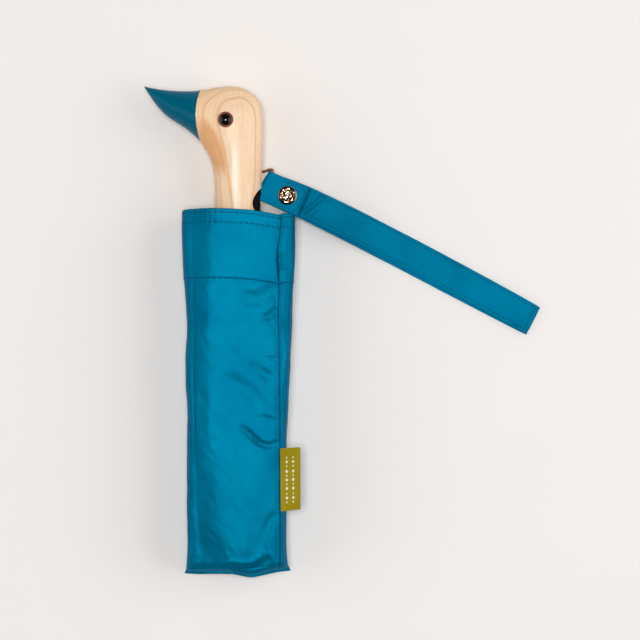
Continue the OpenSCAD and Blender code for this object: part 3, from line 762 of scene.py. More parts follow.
# Outline and creases of the sleeve, each a list of (place along Y, X) in mm
LEFT_EDGE = [(-118.6, -35.9), (-116.8, -35.1), (-114, -34.0), (-108, -33.1), (-70, -32.9), (-30, -33.0),
             (-8, -32.7), (11, -33.8), (41, -33.4), (60, -34.2), (74, -35.0), (106, -36.2), (118, -36.0)]
RIGHT_EDGE = [(-118.6, 33.6), (-116.8, 33.0), (-114, 32.2), (-108, 31.5), (-96, 31.1), (-70, 31.2),
              (-30, 31.4), (-17, 32.0), (15, 33.3), (41, 34.3), (74, 35.6), (87, 36.4), (117, 36.5)]
PLATEAU_EDGE = [(-118, -9), (-108, -11), (-100, -11.5), (-85, -17), (-70, -18.5), (-55, -19.5), (-40, -22),
                (-25, -23.5), (-10, -24), (5, -24), (20, -23.5), (35, -23), (65, -23), (80, -22), (118, -21)]
SIDE_SEAM = [(-118, 27.2), (-76, 27.4), (-35, 27.2), (10, 27.0), (41, 26.5), (55.6, 26.3), (66.6, 26.8),
             (73.8, 26.5), (82.9, 25.9), (92.6, 25.7), (99.8, 27.0), (116, 28.1)]
# Mouth and bottom edges, (X, place along Y)
MOUTH_EDGE = [(-36, 118.1), (-27.7, 118.7), (-14.2, 119.0), (-3.4, 118.6), (10.1, 117.7), (20.9, 116.0),
              (27.6, 115.0), (29.0, 115.6), (36.5, 115.5)]
BOTTOM_EDGE = [(-35.9, -118.7), (-24.9, -118.9), (-17.1, -118.7), (-8.3, -118.5), (-1, -119.3), (6.3, -120.6),
               (8.9, -120.7), (16, -119.4), (25.2, -117.6), (33.6, -116.8)]
# Stitch lines below the mouth; the cloth is doubled, so thicker, down to the last one
HEM_LINES = (1.7, 8.1, 44.0)
HEM = HEM_LINES[-1]
CLOTH_T, HEM_T = 0.6, 1.1
# Vertices between two control points of the section, and control points over its top
STEPS, TOP_POINTS = 11, 14
SLEEVE_H = box_mm("sleeve")[1][2]
# Height of the bottom seam, where the two layers meet
FLANGE_Z = 9.0
# Ends of the sleeve before its edges are shaped, and the widening of the folds in the next table
BOTTOM_Y, MOUTH_Y = -118.6, 117.4
FOLD_WIDTH = 1.35

# Folds of the cloth in plan: points, depth, half width, raised lip, all in mm
FOLDS = [
    ([(0.5, 61.6), (7, 61.6), (13, 61.6), (20.6, 66.0), (25.0, 69.4)], 0.95, 3.4, 0.30),
    ([(15.5, 49.2), (19.5, 50.0), (23.2, 52.2), (26.0, 55.6)], 0.75, 1.8, 0.30),
    ([(19.0, 22.8), (22.5, 23.3), (26.4, 23.6)], 0.45, 1.0, 0.2),
    ([(8.5, 20.5), (12.5, 16.6), (16.6, 13.6), (21, 12.0), (25.5, 13.4)], 0.6, 2.3, 0.15),
    ([(-10, 10.6), (-4, 9.0), (2, 6.4), (8, 2.0), (13.5, -5.5), (16.5, -12)], 0.65, 3.1, 0.15),
    ([(13.0, -13.4), (18, -15.2), (26.0, -17.9)], 0.5, 1.6, 0.2),
    ([(2.0, -19.8), (6.0, -23.6), (10.5, -27.9), (15.4, -31.6), (20.9, -32.6), (26.6, -30.2)],
     1.0, 1.45, 0.15),
    ([(27.4, -76.6), (22.6, -79.2), (19, -86), (16.4, -92.5), (14, -99)], 0.55, 2.2, 0.25),
    ([(-6.5, -110.6), (0, -112.2), (6, -112.8), (12, -111.6), (17, -108.4), (21, -104)], 1.7, 2.2, 0.7),
    ([(-21, 3), (-23.5, -12), (-22.5, -28)], 0.35, 2.6, 0.1),
    ([(-4, 30), (-7, 12), (-6, -6)], 0.22, 4.5, 0.1),
    ([(4, -40), (1.5, -62), (4, -84)], 0.28, 4.5, 0.12),
    ([(13, -44), (15, -60), (13, -76)], 0.25, 4.0, 0.1),
]
# Ridges in plan: points, height, half width
RIDGES = [
    ([(35.2, 74), (34.2, 52), (32.4, 31), (29.6, 12), (28.3, -4), (29.2, -16), (30.4, -30)], 0.55, 1.0),
    ([(30.6, -78), (30.0, -92), (30.8, -108)], 0.4, 0.9),
    ([(-5.4, -105), (-4.6, -111), (-1.5, -115), (6, -117.8)], 1.0, 1.5),
    ([(20.5, -100), (23.5, -107), (25, -113)], 0.5, 1.6),
]
# Long folds along the sides: place round the section in control points, two ends along Y, height, half width
LONG_FOLDS = [
    (12.15, -108, -48, 0.55, 0.22), (12.55, -100, -20, 0.35, 0.18), (12.2, 6, 62, 0.45, 0.2),
    (12.7, -20, 44, 0.3, 0.18), (1.2, -26, 34, 0.5, 0.22), (1.5, -60, -4, 0.3, 0.2),
    (0.8, 40, 100, 0.25, 0.2),
]


def smooth_path(points):
    """Thirty points of the smooth curve through a few points in plan."""
    return smooth_curve(np.linspace(0, len(points) - 1, 30), np.arange(len(points)), np.array(points))


def along_y(table, y):
    """X of an outline at each place y."""
    table = np.array(table, float)
    return smooth_curve(y, table[:, 0], table[:, 1])


def soft_step(x, a, b):
    """Smooth rise from 0 at a to 1 at b."""
    t = np.clip((x - a) / (b - a), 0, 1)
    return t * t * (3 - 2 * t)


def lattice_noise(x, y, cell_x, cell_y, seed):
    """Smooth random field between about -1 and 1 on cells of the given size."""
    rng = np.random.default_rng(seed)
    table = rng.uniform(-1, 1, (64, 64))
    gx, gy = x / cell_x + 512, y / cell_y + 512
    ix, iy = np.floor(gx).astype(int), np.floor(gy).astype(int)
    fx, fy = gx - ix, gy - iy
    fx, fy = fx * fx * (3 - 2 * fx), fy * fy * (3 - 2 * fy)

    def corner(a, b):
        return table[(ix + a) % 64, (iy + b) % 64]

    low = corner(0, 0) * (1 - fx) + corner(1, 0) * fx
    high = corner(0, 1) * (1 - fx) + corner(1, 1) * fx
    return low * (1 - fy) + high * fy


def sleeve_controls(y):
    """Control points round the sleeve at each place y: from the right edge over the top, and back below."""
    left, right = along_y(LEFT_EDGE, y), along_y(RIGHT_EDGE, y)
    crease, seam = along_y(PLATEAU_EDGE, y), along_y(SIDE_SEAM, y)
    top = SLEEVE_H - 0.9 + 0.5 * soft_step(y, -60, 10) - 0.8 * soft_step(-y, 60, 100)
    zero = np.zeros_like(y)
    shoulder = left + 2.4
    drop = 5.0 - 1.2 * soft_step(-y, 20, 80) + 0.1 * (crease - shoulder)
    start, reach = seam - 5, crease + 3 - (seam - 5)
    section = [
        (right, 0.56 * top), (right - 1.0, 0.88 * top), (seam + 1.3, 0.945 * top), (seam, 0.95 * top),
        (seam - 1.3, 0.956 * top), (start, 0.972 * top), (start + 0.34 * reach, 0.99 * top),
        (start + 0.66 * reach, 1.0 * top), (start + 0.88 * reach, 0.998 * top), (start + reach, 0.985 * top),
        (crease - 2.2, 0.978 * top - 0.2 * drop),
        (crease * 0.45 + shoulder * 0.55, 0.978 * top - 0.58 * drop), (shoulder, 0.978 * top - drop),
        (left, 0.57 * top), (left + 0.4, 0.28 * top), (left + 3.2, 0.09 * top), (left + 9, 0.012 * top),
        (zero - 10, zero + 0.12), (zero, zero + 0.12), (zero + 10, zero + 0.12),
        (right - 9, 0.012 * top), (right - 3.4, 0.09 * top), (right - 0.6, 0.28 * top),
    ]
    body = np.stack([np.stack(place, -1) for place in section], axis=1)
    # Near the bottom seam the section closes to a flat band of two layers
    count, over = body.shape[1], TOP_POINTS
    x = body[:, :, 0]
    rise = FLANGE_Z + 2.5 * np.exp(-((x - 8) / 9) ** 2) - 3.0 * np.abs(x / 35) ** 4
    half = np.where(y > -116.6, 0.35, 0.6)[:, None]
    flat_z = rise.copy()
    flat_z[:, 1:over - 1] += half
    flat_z[:, over:] -= half
    open_top = smooth_curve(y, [-116.2, -115.4, -114.4, -112.8, -110, -105, -98],
                            [0, 0.34, 0.7, 0.89, 0.965, 0.99, 1.0])[:, None]
    open_low = smooth_curve(y, [-116.2, -114.4, -111.5, -107, -101], [0, 0.45, 0.85, 0.98, 1.0])[:, None]
    opening = np.concatenate([open_top.repeat(over, 1), open_low.repeat(count - over, 1)], axis=1)
    opening[:, [0, over - 1]] = (open_top + open_low) / 2
    z = flat_z + (body[:, :, 1] - flat_z) * opening
    return np.stack([x, z], axis=-1)


def sleeve_rows():
    """Places of the rings along Y, closer together at the hem's stitches and the bottom seam."""
    low = np.concatenate([np.linspace(BOTTOM_Y, -116.4, 6), np.linspace(-116.1, -104, 30)])
    middle = np.arange(-103.2, 70, 0.95)
    high = np.concatenate([np.linspace(70.4, 78, 18), np.arange(78.5, 95, 0.5), np.arange(95.6, 107.5, 0.85),
                           np.linspace(108, MOUTH_Y, 26)])
    return np.concatenate([low, middle, high])


def sleeve_surface():
    """Outer surface of the sleeve with its folds, its normals, the distance below the mouth and round it."""
    y0 = sleeve_rows()
    controls = sleeve_controls(y0)
    count = controls.shape[1]
    t = np.arange(count * STEPS) / STEPS
    section = smooth_ring(controls, t)
    x, z = section[..., 0], section[..., 1]
    y = np.repeat(y0[:, None], len(t), 1)
    mouth, bottom = np.array(MOUTH_EDGE), np.array(BOTTOM_EDGE)
    upper = soft_step(z, 6, 26)
    mouth_y = smooth_curve(x, mouth[:, 0], mouth[:, 1]) * upper + 116.4 * (1 - upper)
    y = y + (mouth_y - MOUTH_Y) * soft_step(y, 40, 112)
    y = y + (smooth_curve(x, bottom[:, 0], bottom[:, 1]) - BOTTOM_Y) * soft_step(-y, 96, 115)
    base = np.stack([x, y, z], axis=-1)
    normal = grid_normals(base)
    below = mouth_y - y
    up = np.clip(normal[..., 2], 0, 1)
    side = np.cumsum(np.linalg.norm(np.diff(base, axis=1, append=base[:, :1]), axis=2), axis=1)
    side = side.mean(axis=0)[None, :].repeat(len(y0), 0)

    # Broad slackness, then finer crinkles, calmer on the stiff hem
    slack = soft_step(below, HEM - 4, HEM + 10) * 0.75 + 0.25
    inside = soft_step(y, -116, -110)
    lift = 0.5 * lattice_noise(side, y, 17, 46, SEED) * slack * inside
    lift += 0.30 * lattice_noise(side + 0.35 * y, y, 8, 24, SEED + 1) * slack * inside
    lift += 0.13 * lattice_noise(side - 0.5 * y, y, 3.6, 9, SEED + 2) * slack * inside
    lift += 0.03 * lattice_noise(side, y, 1.5, 2.6, SEED + 3) * inside
    top_only = soft_step(up, 0.1, 0.45)
    for points, depth, width, lip in FOLDS:
        d, at, which = polyline_distance(x, y, smooth_path(points))
        fade = np.sin(np.pi * np.clip(at, 0, 1)) ** 0.55 * np.exp(-np.clip(d / width - 1, 0, None) ** 2)
        width = width * FOLD_WIDTH
        valley = -depth * np.exp(-(d / width) ** 2)
        ridge = lip * np.exp(-((d - 1.7 * width) / (0.8 * width)) ** 2) * (which > 0)
        reach = np.exp(-(np.clip(d - 1.5 * width, 0, None) / width) ** 2)
        lift += (valley * fade + ridge * np.sin(np.pi * at) ** 0.5 * reach) * top_only
    for points, height, width in RIDGES:
        d, at, _ = polyline_distance(x, y, smooth_path(points))
        lift += height * np.exp(-(d / width) ** 2) * np.sin(np.pi * at) ** 0.5 * top_only
    # Long folds standing near the left edge and along the right side
    for turn, y_low, y_high, height, width in LONG_FOLDS:
        drift = turn + 0.16 * np.sin(y / 23 + turn * 5)
        window = soft_step(y, y_low, y_low + 14) * soft_step(-y, -y_high, -y_high + 14)
        lift += height * np.exp(-((t[None, :] - drift) / width) ** 2) * window

    # Side seam: a groove with the left cloth lapped over the right, gaping at one place
    seam = along_y(SIDE_SEAM, y)
    off = x - seam
    near = np.where(up > 0.15, 1.0, 0.0) * inside
    gape = soft_step(y, 72, 78) * soft_step(-y, -95, -88)
    wander = off + 0.12 * np.sin(y * 1.7) + 0.1 * np.sin(y * 0.61)
    lift += (-0.6 - 1.3 * gape) * np.exp(-(wander / (0.3 + 0.28 * gape)) ** 2) * near
    lift += (0.22 + 0.4 * gape) * np.exp(-np.clip(-off - 0.5, 0, None) / 1.6) * (off < -0.3) * near
    pucker = np.sin(2 * np.pi * (y - 80) / 2.2) * soft_step(y, 76, 81) * soft_step(-y, -94, -90)
    lift += 0.24 * pucker * np.exp(-((off - 2.6) / 2.2) ** 2) * (off > 0.4) * near
    small = np.sin(2 * np.pi * y / 3.3 + 0.8 * np.sin(y / 7))
    lift += 0.07 * small * np.exp(-(np.abs(off) / 2.6) ** 2) * (np.abs(off) > 0.4) * near * slack

    # Hem: doubled cloth above the last stitch line, and a sewn channel at each line
    lift += 0.32 * soft_step(-below, -HEM - 0.35, -HEM + 0.35)
    for line in HEM_LINES:
        d = below - line
        lift -= (0.13 + 0.12 * np.cos(2 * np.pi * side / 3.4)) * np.exp(-(d / 0.55) ** 2)
        lift += 0.14 * np.cos(2 * np.pi * side / 3.4) * np.exp(-(d / 1.6) ** 2)
        lift += 0.08 * lattice_noise(side, d, 5, 6, SEED + 9) * np.exp(-(d / 4) ** 2)
    floor = soft_step(z, 0.0, 2.5)
    lift *= np.where(normal[..., 2] < -0.6, floor, 1.0)
    full = base + normal * lift[..., None]
    full[..., 2] = np.maximum(full[..., 2], 0.05)
    return full, normal, below, side


def make_sleeve():
    """The sleeve with its lining, a rolled mouth and the hem's stitches."""
    full, normal, below, side = sleeve_surface()
    rows, cols = full.shape[:2]
    thick = CLOTH_T + (HEM_T - CLOTH_T) * soft_step(-below, -HEM - 1, -HEM + 1)

    # Rolled rim, then the inside down to just short of the bottom seam
    rim = []
    last, out = full[-1], normal[-1]
    radius = thick[-1][:, None] / 2
    centre = last - out * radius
    for turn in np.linspace(0, math.pi, 7)[1:-1]:
        rim.append(centre + out * radius * math.cos(turn) + np.array([0, 1, 0]) * radius * math.sin(turn))
    keep = [i for i in range(rows - 1, -1, -1) if full[i, :, 1].mean() > -112.4]
    keep = keep[:40:4] + keep[40::8]
    inner = [full[i] - normal[i] * thick[i][:, None] for i in keep]
    inner = [np.stack([p[:, 0], p[:, 1], np.maximum(p[:, 2], CLOTH_T)], -1) for p in inner]
    grid = np.concatenate([full, np.array(rim), np.array(inner)])
    total = len(grid)
    faces = grid_faces(total, cols)
    faces.append(tuple(range(cols)))
    faces.append(tuple((total - 1) * cols + k for k in reversed(range(cols))))
    obj = new_object("cloth_sleeve", grid.reshape(-1, 3), faces, MAT["sleeve"])
    obj.data.materials.append(MAT["lining"])
    lining_from = (rows + len(rim)) * cols
    first_vertex = np.empty(len(obj.data.loops), int)
    obj.data.loops.foreach_get("vertex_index", first_vertex)
    starts = np.empty(len(obj.data.polygons), int)
    obj.data.polygons.foreach_get("loop_start", starts)
    lined = (first_vertex[starts] >= lining_from).astype(np.int32)
    obj.data.polygons.foreach_set("material_index", lined)
    path = np.concatenate([full[..., 1], np.array(rim)[..., 1], np.array(inner)[..., 1]])
    around = np.repeat(side[:1], total, 0)
    set_uv(obj, np.stack([around, path], -1).reshape(-1, 2) * MM)
    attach(obj, "cover")
    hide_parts("sleeve")

    # Stitches along the hem lines
    parts = []
    for line in HEM_LINES:
        ring, ring_n = [], []
        for k in range(cols):
            column = below[:, k]
            order = np.argsort(column)
            ring.append([np.interp(line, column[order], full[order, k, a]) for a in range(3)])
            ring_n.append([np.interp(line, column[order], normal[order, k, a]) for a in range(3)])
        ring, ring_n = np.array(ring + ring[:1]), np.array(ring_n + ring_n[:1])
        parts += stitch_row(ring, ring_n, pitch=3.4, length=2.1, radius=0.3, lift=0.06)
    stitches = thread_object("sleeve_stitches", parts)
    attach(stitches, "cover")


# ---- Label ----


def make_label():
    """Folded ribbon in the side seam, with a plain woven pattern."""
    inner_low, inner_high = (27.9, -75.0), (27.5, -34.5)
    outer_low, outer_high = (40.5, -73.9), (40.4, -34.0)
    width, length, gap, thick = 13.0, 41.0, 0.36, 0.17
    rows, half = 60, 26
    v = np.linspace(0, 1, rows)
    u = np.concatenate([np.linspace(0, 1, half), np.linspace(1, 0, half)])
    sheet_side = np.concatenate([np.full(half, 1.0), np.full(half, -1.0)])
    top_z = 0.965 * (SLEEVE_H - 0.9)
    grid = np.empty((rows, len(u), 3))
    for i, share in enumerate(v):
        a = np.array(inner_low) + (np.array(inner_high) - np.array(inner_low)) * share
        b = np.array(outer_low) + (np.array(outer_high) - np.array(outer_low)) * share
        p = a + (b - a) * u[:, None]
        sag = -3.2 * u - 0.9 * u**2 + 0.35 * np.sin(3.2 * share + 1.0) * u + 0.5 * (share - 0.5) ** 2 * u
        opening = gap / 2 * (0.55 + 0.45 * np.sin(np.pi * np.clip(u * 1.05, 0, 1))) * sheet_side
        grid[i] = np.stack([p[:, 0], p[:, 1], top_z + sag + opening], -1)
    near_fold = np.exp(-((u - 1) / 0.02) ** 2)
    grid[:, :, 2] -= near_fold * sheet_side * gap / 2 * 0.9
    faces = []
    n = len(u)
    for i in range(rows - 1):
        faces += [(i * n + k, (i + 1) * n + k, (i + 1) * n + k + 1, i * n + k + 1) for k in range(n - 1)]
    ribbon = new_object("seam_label", grid.reshape(-1, 3), faces, MAT["label"])
    arc = width * np.where(sheet_side > 0, u, 2 - u)
    set_uv(ribbon, np.stack([np.tile(arc, rows), np.repeat(v * length, n)], -1) * MM)
    solid = ribbon.modifiers.new("cloth", "SOLIDIFY")
    solid.thickness = thick * MM
    solid.offset = 0
    apply_modifiers(ribbon)
    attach(ribbon, "cover")
    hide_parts("label")

    # Two columns of small woven lozenges
    parts = []
    for column in (0.34, 0.64):
        for k in range(11):
            i = int((0.14 + 0.072 * k) * (rows - 1))
            j = int(round(column * (half - 1)))
            centre = grid[i, j]
            across = grid[i, j + 1] - grid[i, j]
            along = grid[i + 1, j] - grid[i, j]
            across, along = across / np.linalg.norm(across), along / np.linalg.norm(along)
            up = np.cross(across, along)
            half_a, half_b = (1.0, 1.15) if k % 2 else (0.6, 0.75)
            outline = [centre + across * half_a * math.cos(w) * (0.72 + 0.28 * abs(math.cos(2 * w)))
                       + along * half_b * math.sin(w) * (0.72 + 0.28 * abs(math.cos(2 * w)))
                       for w in np.linspace(0, 2 * math.pi, 25)[:-1]]
            low = [q + up * 0.05 for q in outline]
            high = [centre + (q - centre) * 0.86 + up * 0.17 for q in outline]
            m = len(outline)
            lozenge = [(a, (a + 1) % m, m + (a + 1) % m, m + a) for a in range(m)] + fan_faces(m, m, 2 * m)
            lozenge.append(tuple(reversed(range(m))))
            parts.append((np.array(low + high + [centre + up * 0.19]), lozenge))
    verts, faces = joined(parts)
    motif = face_outwards(new_object("label_motif", verts, faces, MAT["label_thread"]))
    set_uv(motif, verts[:, :2] * MM)
    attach(motif, "cover")


# ---- Wrist strap ----

# The strap's own frame: u along its first stretch, w across, n up, from a point beside the staple
STRAP_AT = np.array([17.5, 134.9])
STRAP_N0 = 22.45
STRAP_U = np.array([0.91775, -0.39715])
STRAP_W = np.array([0.39715, 0.91775])
U_DIR, W_DIR, LEVEL = np.array([*STRAP_U, 0]), np.array([*STRAP_W, 0]), np.array([0, 0, 1.0])
FOLD_U = (HINGE[:2] - STRAP_AT) @ STRAP_U
# Turn round the staple's wire, whose line is a little skew to the strap
TURN_U, TURN_W, TURN_SKEW = 0.2, 6.95, 0.112
TURN_Z, TURN_R = AXIS_Z, 1.85
OVER_N, UNDER_N = TURN_Z + TURN_R - STRAP_N0, TURN_Z - TURN_R - STRAP_N0
# Half width and thickness of one layer, and the height of its middle over the doubled strap's middle
HALF_W, LAYER, LAYER_UP = 10.0, 0.85, 0.46
# Stitches of the strap, and their distance from its edge
STRAP_STITCH = {"pitch": 2.6, "length": 1.7, "radius": 0.27, "lift": 0.02}
STITCH_INSET = 2.2
FLAT_POINTS = 34
SNAP_U = (centre_mm("snap_cap")[:2] - STRAP_AT) @ STRAP_U
TAB_END = 26.0
# Middle of the doubled strap from the fold line to its far end
ROUTE = [(24.8, 131.7, 21.6), (37, 126.5, 21.6), (46, 122.4, 20.9), (54, 118.6, 18.7), (62, 114.8, 15.5),
         (70, 111, 11.8), (79, 106.6, 7.6), (88, 102.1, 4.2), (97, 97.5, 2.1), (106, 92.9, 1.25),
         (116, 87.7, 1.05), (135, 77.7, 1.05), (155, 67.2, 1.05), (175, 56.7, 1.05), (193.0, 47.4, 1.05)]
# Folds of the strap's upper layer in plan: points, depth, half width
STRAP_FOLDS = [
    ([(46.1, 131.8), (42.4, 124.2), (38.9, 116.6)], 1.5, 0.8),
    ([(57.0, 129.6), (51.5, 125.2), (46.4, 121.0), (43.2, 118.2)], 1.25, 1.5),
    ([(71.0, 123.0), (70.2, 114.5), (70.8, 105.5)], 0.75, 1.2),
    ([(47.0, 128.5), (52, 127.4), (60, 122.6)], 0.3, 1.5),
]


def in_strap(u, w, n):
    """Point of the strap's own frame, in the model's."""
    u, w, n = np.broadcast_arrays(u, w, n)
    return np.stack([STRAP_AT[0] + u * STRAP_U[0] + w * STRAP_W[0],
                     STRAP_AT[1] + u * STRAP_U[1] + w * STRAP_W[1], STRAP_N0 + n], -1)


def strap_section(across=FLAT_POINTS):
    """Closed outline of one flat layer: places across from -1 to 1 and height from -1 to 1."""
    flat = np.linspace(-0.975, 0.975, across)
    edge = np.linspace(0, math.pi, 6)[1:-1]
    right = [(0.975 + 0.025 * math.sin(w), -math.cos(w)) for w in edge]
    left = [(-0.975 - 0.025 * math.sin(w), math.cos(w)) for w in edge]
    ring = [(a, -1.0) for a in flat] + right + [(a, 1.0) for a in flat[::-1]] + left
    return np.array(ring)


def sweep_layer(name, middle, side, normal, skew, body_lift):
    """Flat layer of cloth along a run of stations, closed at both ends; gives the piece and its points."""
    ring = strap_section()
    w, h = ring[:, 0] * HALF_W, ring[:, 1] * LAYER / 2
    channel = 0.2 * np.exp(-((np.abs(w) - (HALF_W - STITCH_INSET)) / 0.6) ** 2)
    h = h - np.sign(ring[:, 1]) * channel * (np.abs(ring[:, 1]) > 0.9)
    points = middle[:, None, :] + side[:, None, :] * w[None, :, None] + normal[:, None, :] * h[None, :, None]
    points = points + skew[:, None, :] * (w - TURN_W)[None, :, None] * TURN_SKEW
    points = points + normal[:, None, :] * body_lift(points, w)[..., None]
    rows, cols = points.shape[:2]
    obj = face_outwards(new_object(name, points.reshape(-1, 3), tube_faces(rows, cols), MAT["strap"]))
    obj.data.set_sharp_from_angle(angle=math.radians(60))
    run = np.concatenate([[0], np.cumsum(np.linalg.norm(np.diff(middle, axis=0), axis=1))])
    set_uv(obj, np.stack([np.tile(w + np.sign(h) * 0.1, rows), np.repeat(run, cols)], -1) * MM)
    return obj, points


def frames_along(points):
    """Directions along, across and out of a run of points, with the one across kept level."""
    d = np.gradient(points, axis=0)
    d /= np.linalg.norm(d, axis=1, keepdims=True)
    side = np.stack([-d[:, 1], d[:, 0], np.zeros(len(d))], -1)
    side /= np.linalg.norm(side, axis=1, keepdims=True)
    return d, side, np.cross(d, side)


def band_lift(points, w):
    """Waves, folds and creases of the strap's upper layer."""
    x, y = points[..., 0], points[..., 1]
    free = soft_step(x, 34, 42)
    lift = 0.7 + 0.3 * lattice_noise(x, y, 13, 9, SEED + 20) + 0.1 * lattice_noise(x, y, 4, 4, SEED + 21)
    lift += 0.5 * np.exp(-((x - 50) / 9) ** 2) * np.cos(w / HALF_W * 1.4)
    for path, depth, width in STRAP_FOLDS:
        d, _, _ = polyline_distance(x, y, path)
        lift -= depth * np.exp(-(d / width) ** 2)
        lift += 0.45 * depth * np.exp(-((d - 1.9 * width) / width) ** 2)
    return np.maximum(lift, -0.12) * free


def strap_stitches(grid, normals, from_u=0.0):
    """Stitches along both edges of a layer's upper face, beyond from_u in the strap's own frame."""
    ring = strap_section()
    parts = []
    for edge in (STITCH_INSET - HALF_W, HALF_W - STITCH_INSET):
        column = int(np.argmin(np.abs(ring[:, 0] * HALF_W - edge) + 100 * (ring[:, 1] < 0.9)))
        line = grid[:, column]
        keep = ((line[:, :2] - STRAP_AT) @ STRAP_U) > from_u
        parts += stitch_row(line[keep], normals[keep], **STRAP_STITCH)
    return parts


def strap_run():
    """Stations of the strap's one strip, with their directions across, out and askew.

    It runs over the staple, back under it, out along the lower layer, and home along the upper one.
    """
    route = np.array(ROUTE)
    gaps = np.concatenate([[0], np.cumsum(np.linalg.norm(np.diff(route, axis=0), axis=1))])
    run = np.concatenate([np.linspace(0, 46, 100), np.linspace(46.8, gaps[-1], 130)])
    middle = smooth_curve(run, gaps, route)
    along, side, up = frames_along(middle)
    spread = (np.sin(np.pi * np.clip(run / run[-1], 0, 1)) ** 0.5)[:, None]
    lower = middle - up * LAYER_UP - side * 0.5 * spread
    upper = middle + up * LAYER_UP + side * 1.7 * spread

    # Over and round the wire, then down to the lower layer
    leg = np.linspace(FOLD_U - 0.5, TURN_U, 12)[:-1]
    top_leg = in_strap(leg, 0, OVER_N)
    turn = np.radians(np.linspace(90, 270, 19))
    turn_points = in_strap(TURN_U + TURN_R * np.cos(turn), 0, TURN_Z - STRAP_N0 + TURN_R * np.sin(turn))
    turn_normal = np.cos(turn)[:, None] * U_DIR + np.sin(turn)[:, None] * LEVEL
    low_leg = np.linspace(TURN_U, FOLD_U + 0.6, 12)[1:]
    drop = (lower[0][2] - STRAP_N0 - UNDER_N) * soft_step(low_leg, TURN_U, FOLD_U + 0.6)
    low_points = in_strap(low_leg, 0, UNDER_N + drop)
    # Far end: a tight fold from the lower layer to the upper one
    bend = np.radians(np.linspace(-90, 90, 9)[1:-1])[:, None]
    tip, tip_d, tip_up, tip_s = middle[-1], along[-1], up[-1], side[-1]
    fold_n = tip_d * np.cos(bend) + tip_up * np.sin(bend)
    fold = tip + fold_n * LAYER_UP
    points = np.concatenate([top_leg, turn_points, low_points, lower[2:], fold, upper[::-1][:-3]])
    normals = np.concatenate([np.tile(LEVEL, (len(top_leg), 1)), turn_normal,
                              np.tile(-LEVEL, (len(low_points), 1)), -up[2:], fold_n, up[::-1][:-3]])
    count = len(top_leg) + len(turn) + len(low_points)
    sides = np.concatenate([np.tile(W_DIR, (count, 1)), side[2:], np.tile(tip_s, (len(fold), 1)),
                            side[::-1][:-3]])
    skew = np.zeros((len(points), 3))
    ease = np.concatenate([soft_step(-leg, -FOLD_U + 0.5, -TURN_U), np.ones(len(turn)),
                           1 - soft_step(low_leg, TURN_U + 1, FOLD_U)])
    skew[:count] = U_DIR * ease[:, None]
    return points, sides, normals, skew, len(points) - (len(upper) - 3)


def make_strap():
    """The doubled strap and the cloth round the staple, as one strip."""
    points, sides, normals, skew, upper_start = strap_run()

    def lift(grid, w):
        amount = np.zeros(grid.shape[:2])
        amount[upper_start:] = band_lift(grid[upper_start:], w)
        return amount

    strap, grid = sweep_layer("wrist_strap", points, sides, normals, skew, lift)
    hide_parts("strap_root", "strap_band")
    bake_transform(strap)

    # Along both edges and across the far end of the upper layer
    upper_grid, upper_normals = grid[upper_start:], normals[upper_start:]
    seams = strap_stitches(upper_grid, upper_normals, FOLD_U + 4)
    band_end = upper_grid[2, FLAT_POINTS + 6:2 * FLAT_POINTS + 2:2]
    seams += stitch_row(band_end, np.tile(LEVEL, (len(band_end), 1)), **STRAP_STITCH)
    stitches = thread_object("strap_stitches", seams)
    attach(stitches, "strap")


def make_tab():
    """The short tab from the fold line over the snap."""
    length = np.linspace(FOLD_U - 0.5, TAB_END, 56)
    droop = -0.75 * soft_step(length, SNAP_U + 4.5, TAB_END + 1)
    tab_middle = in_strap(length, 0, OVER_N + 0.03 + droop)
    _, tab_side, tab_up = frames_along(tab_middle)

    def tab_lift(points, w):
        u = (points[..., :2] - STRAP_AT) @ STRAP_U
        r = np.hypot(u - SNAP_U, w[None, :])
        pull = -0.22 * np.exp(-((r - 6.4) / 1.3) ** 2)
        wave = 0.10 * lattice_noise(u, w[None, :] + 0 * u, 6, 6, SEED + 30)
        return (pull + wave) * soft_step(u, FOLD_U, FOLD_U + 3)

    no_skew = np.zeros_like(tab_middle)
    tab, tab_grid = sweep_layer("strap_tab_cloth", tab_middle, tab_side, tab_up, no_skew, tab_lift)
    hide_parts("strap_tab")
    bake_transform(tab)

    seams = strap_stitches(tab_grid[6:-3], tab_up[6:-3])
    tab_end = tab_grid[-4, FLAT_POINTS + 6:2 * FLAT_POINTS + 2]
    seams += stitch_row(tab_end, np.tile(tab_up[-4], (len(tab_end), 1)), **STRAP_STITCH)
    stitches = thread_object("tab_stitches", seams)
    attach(stitches, "tab")


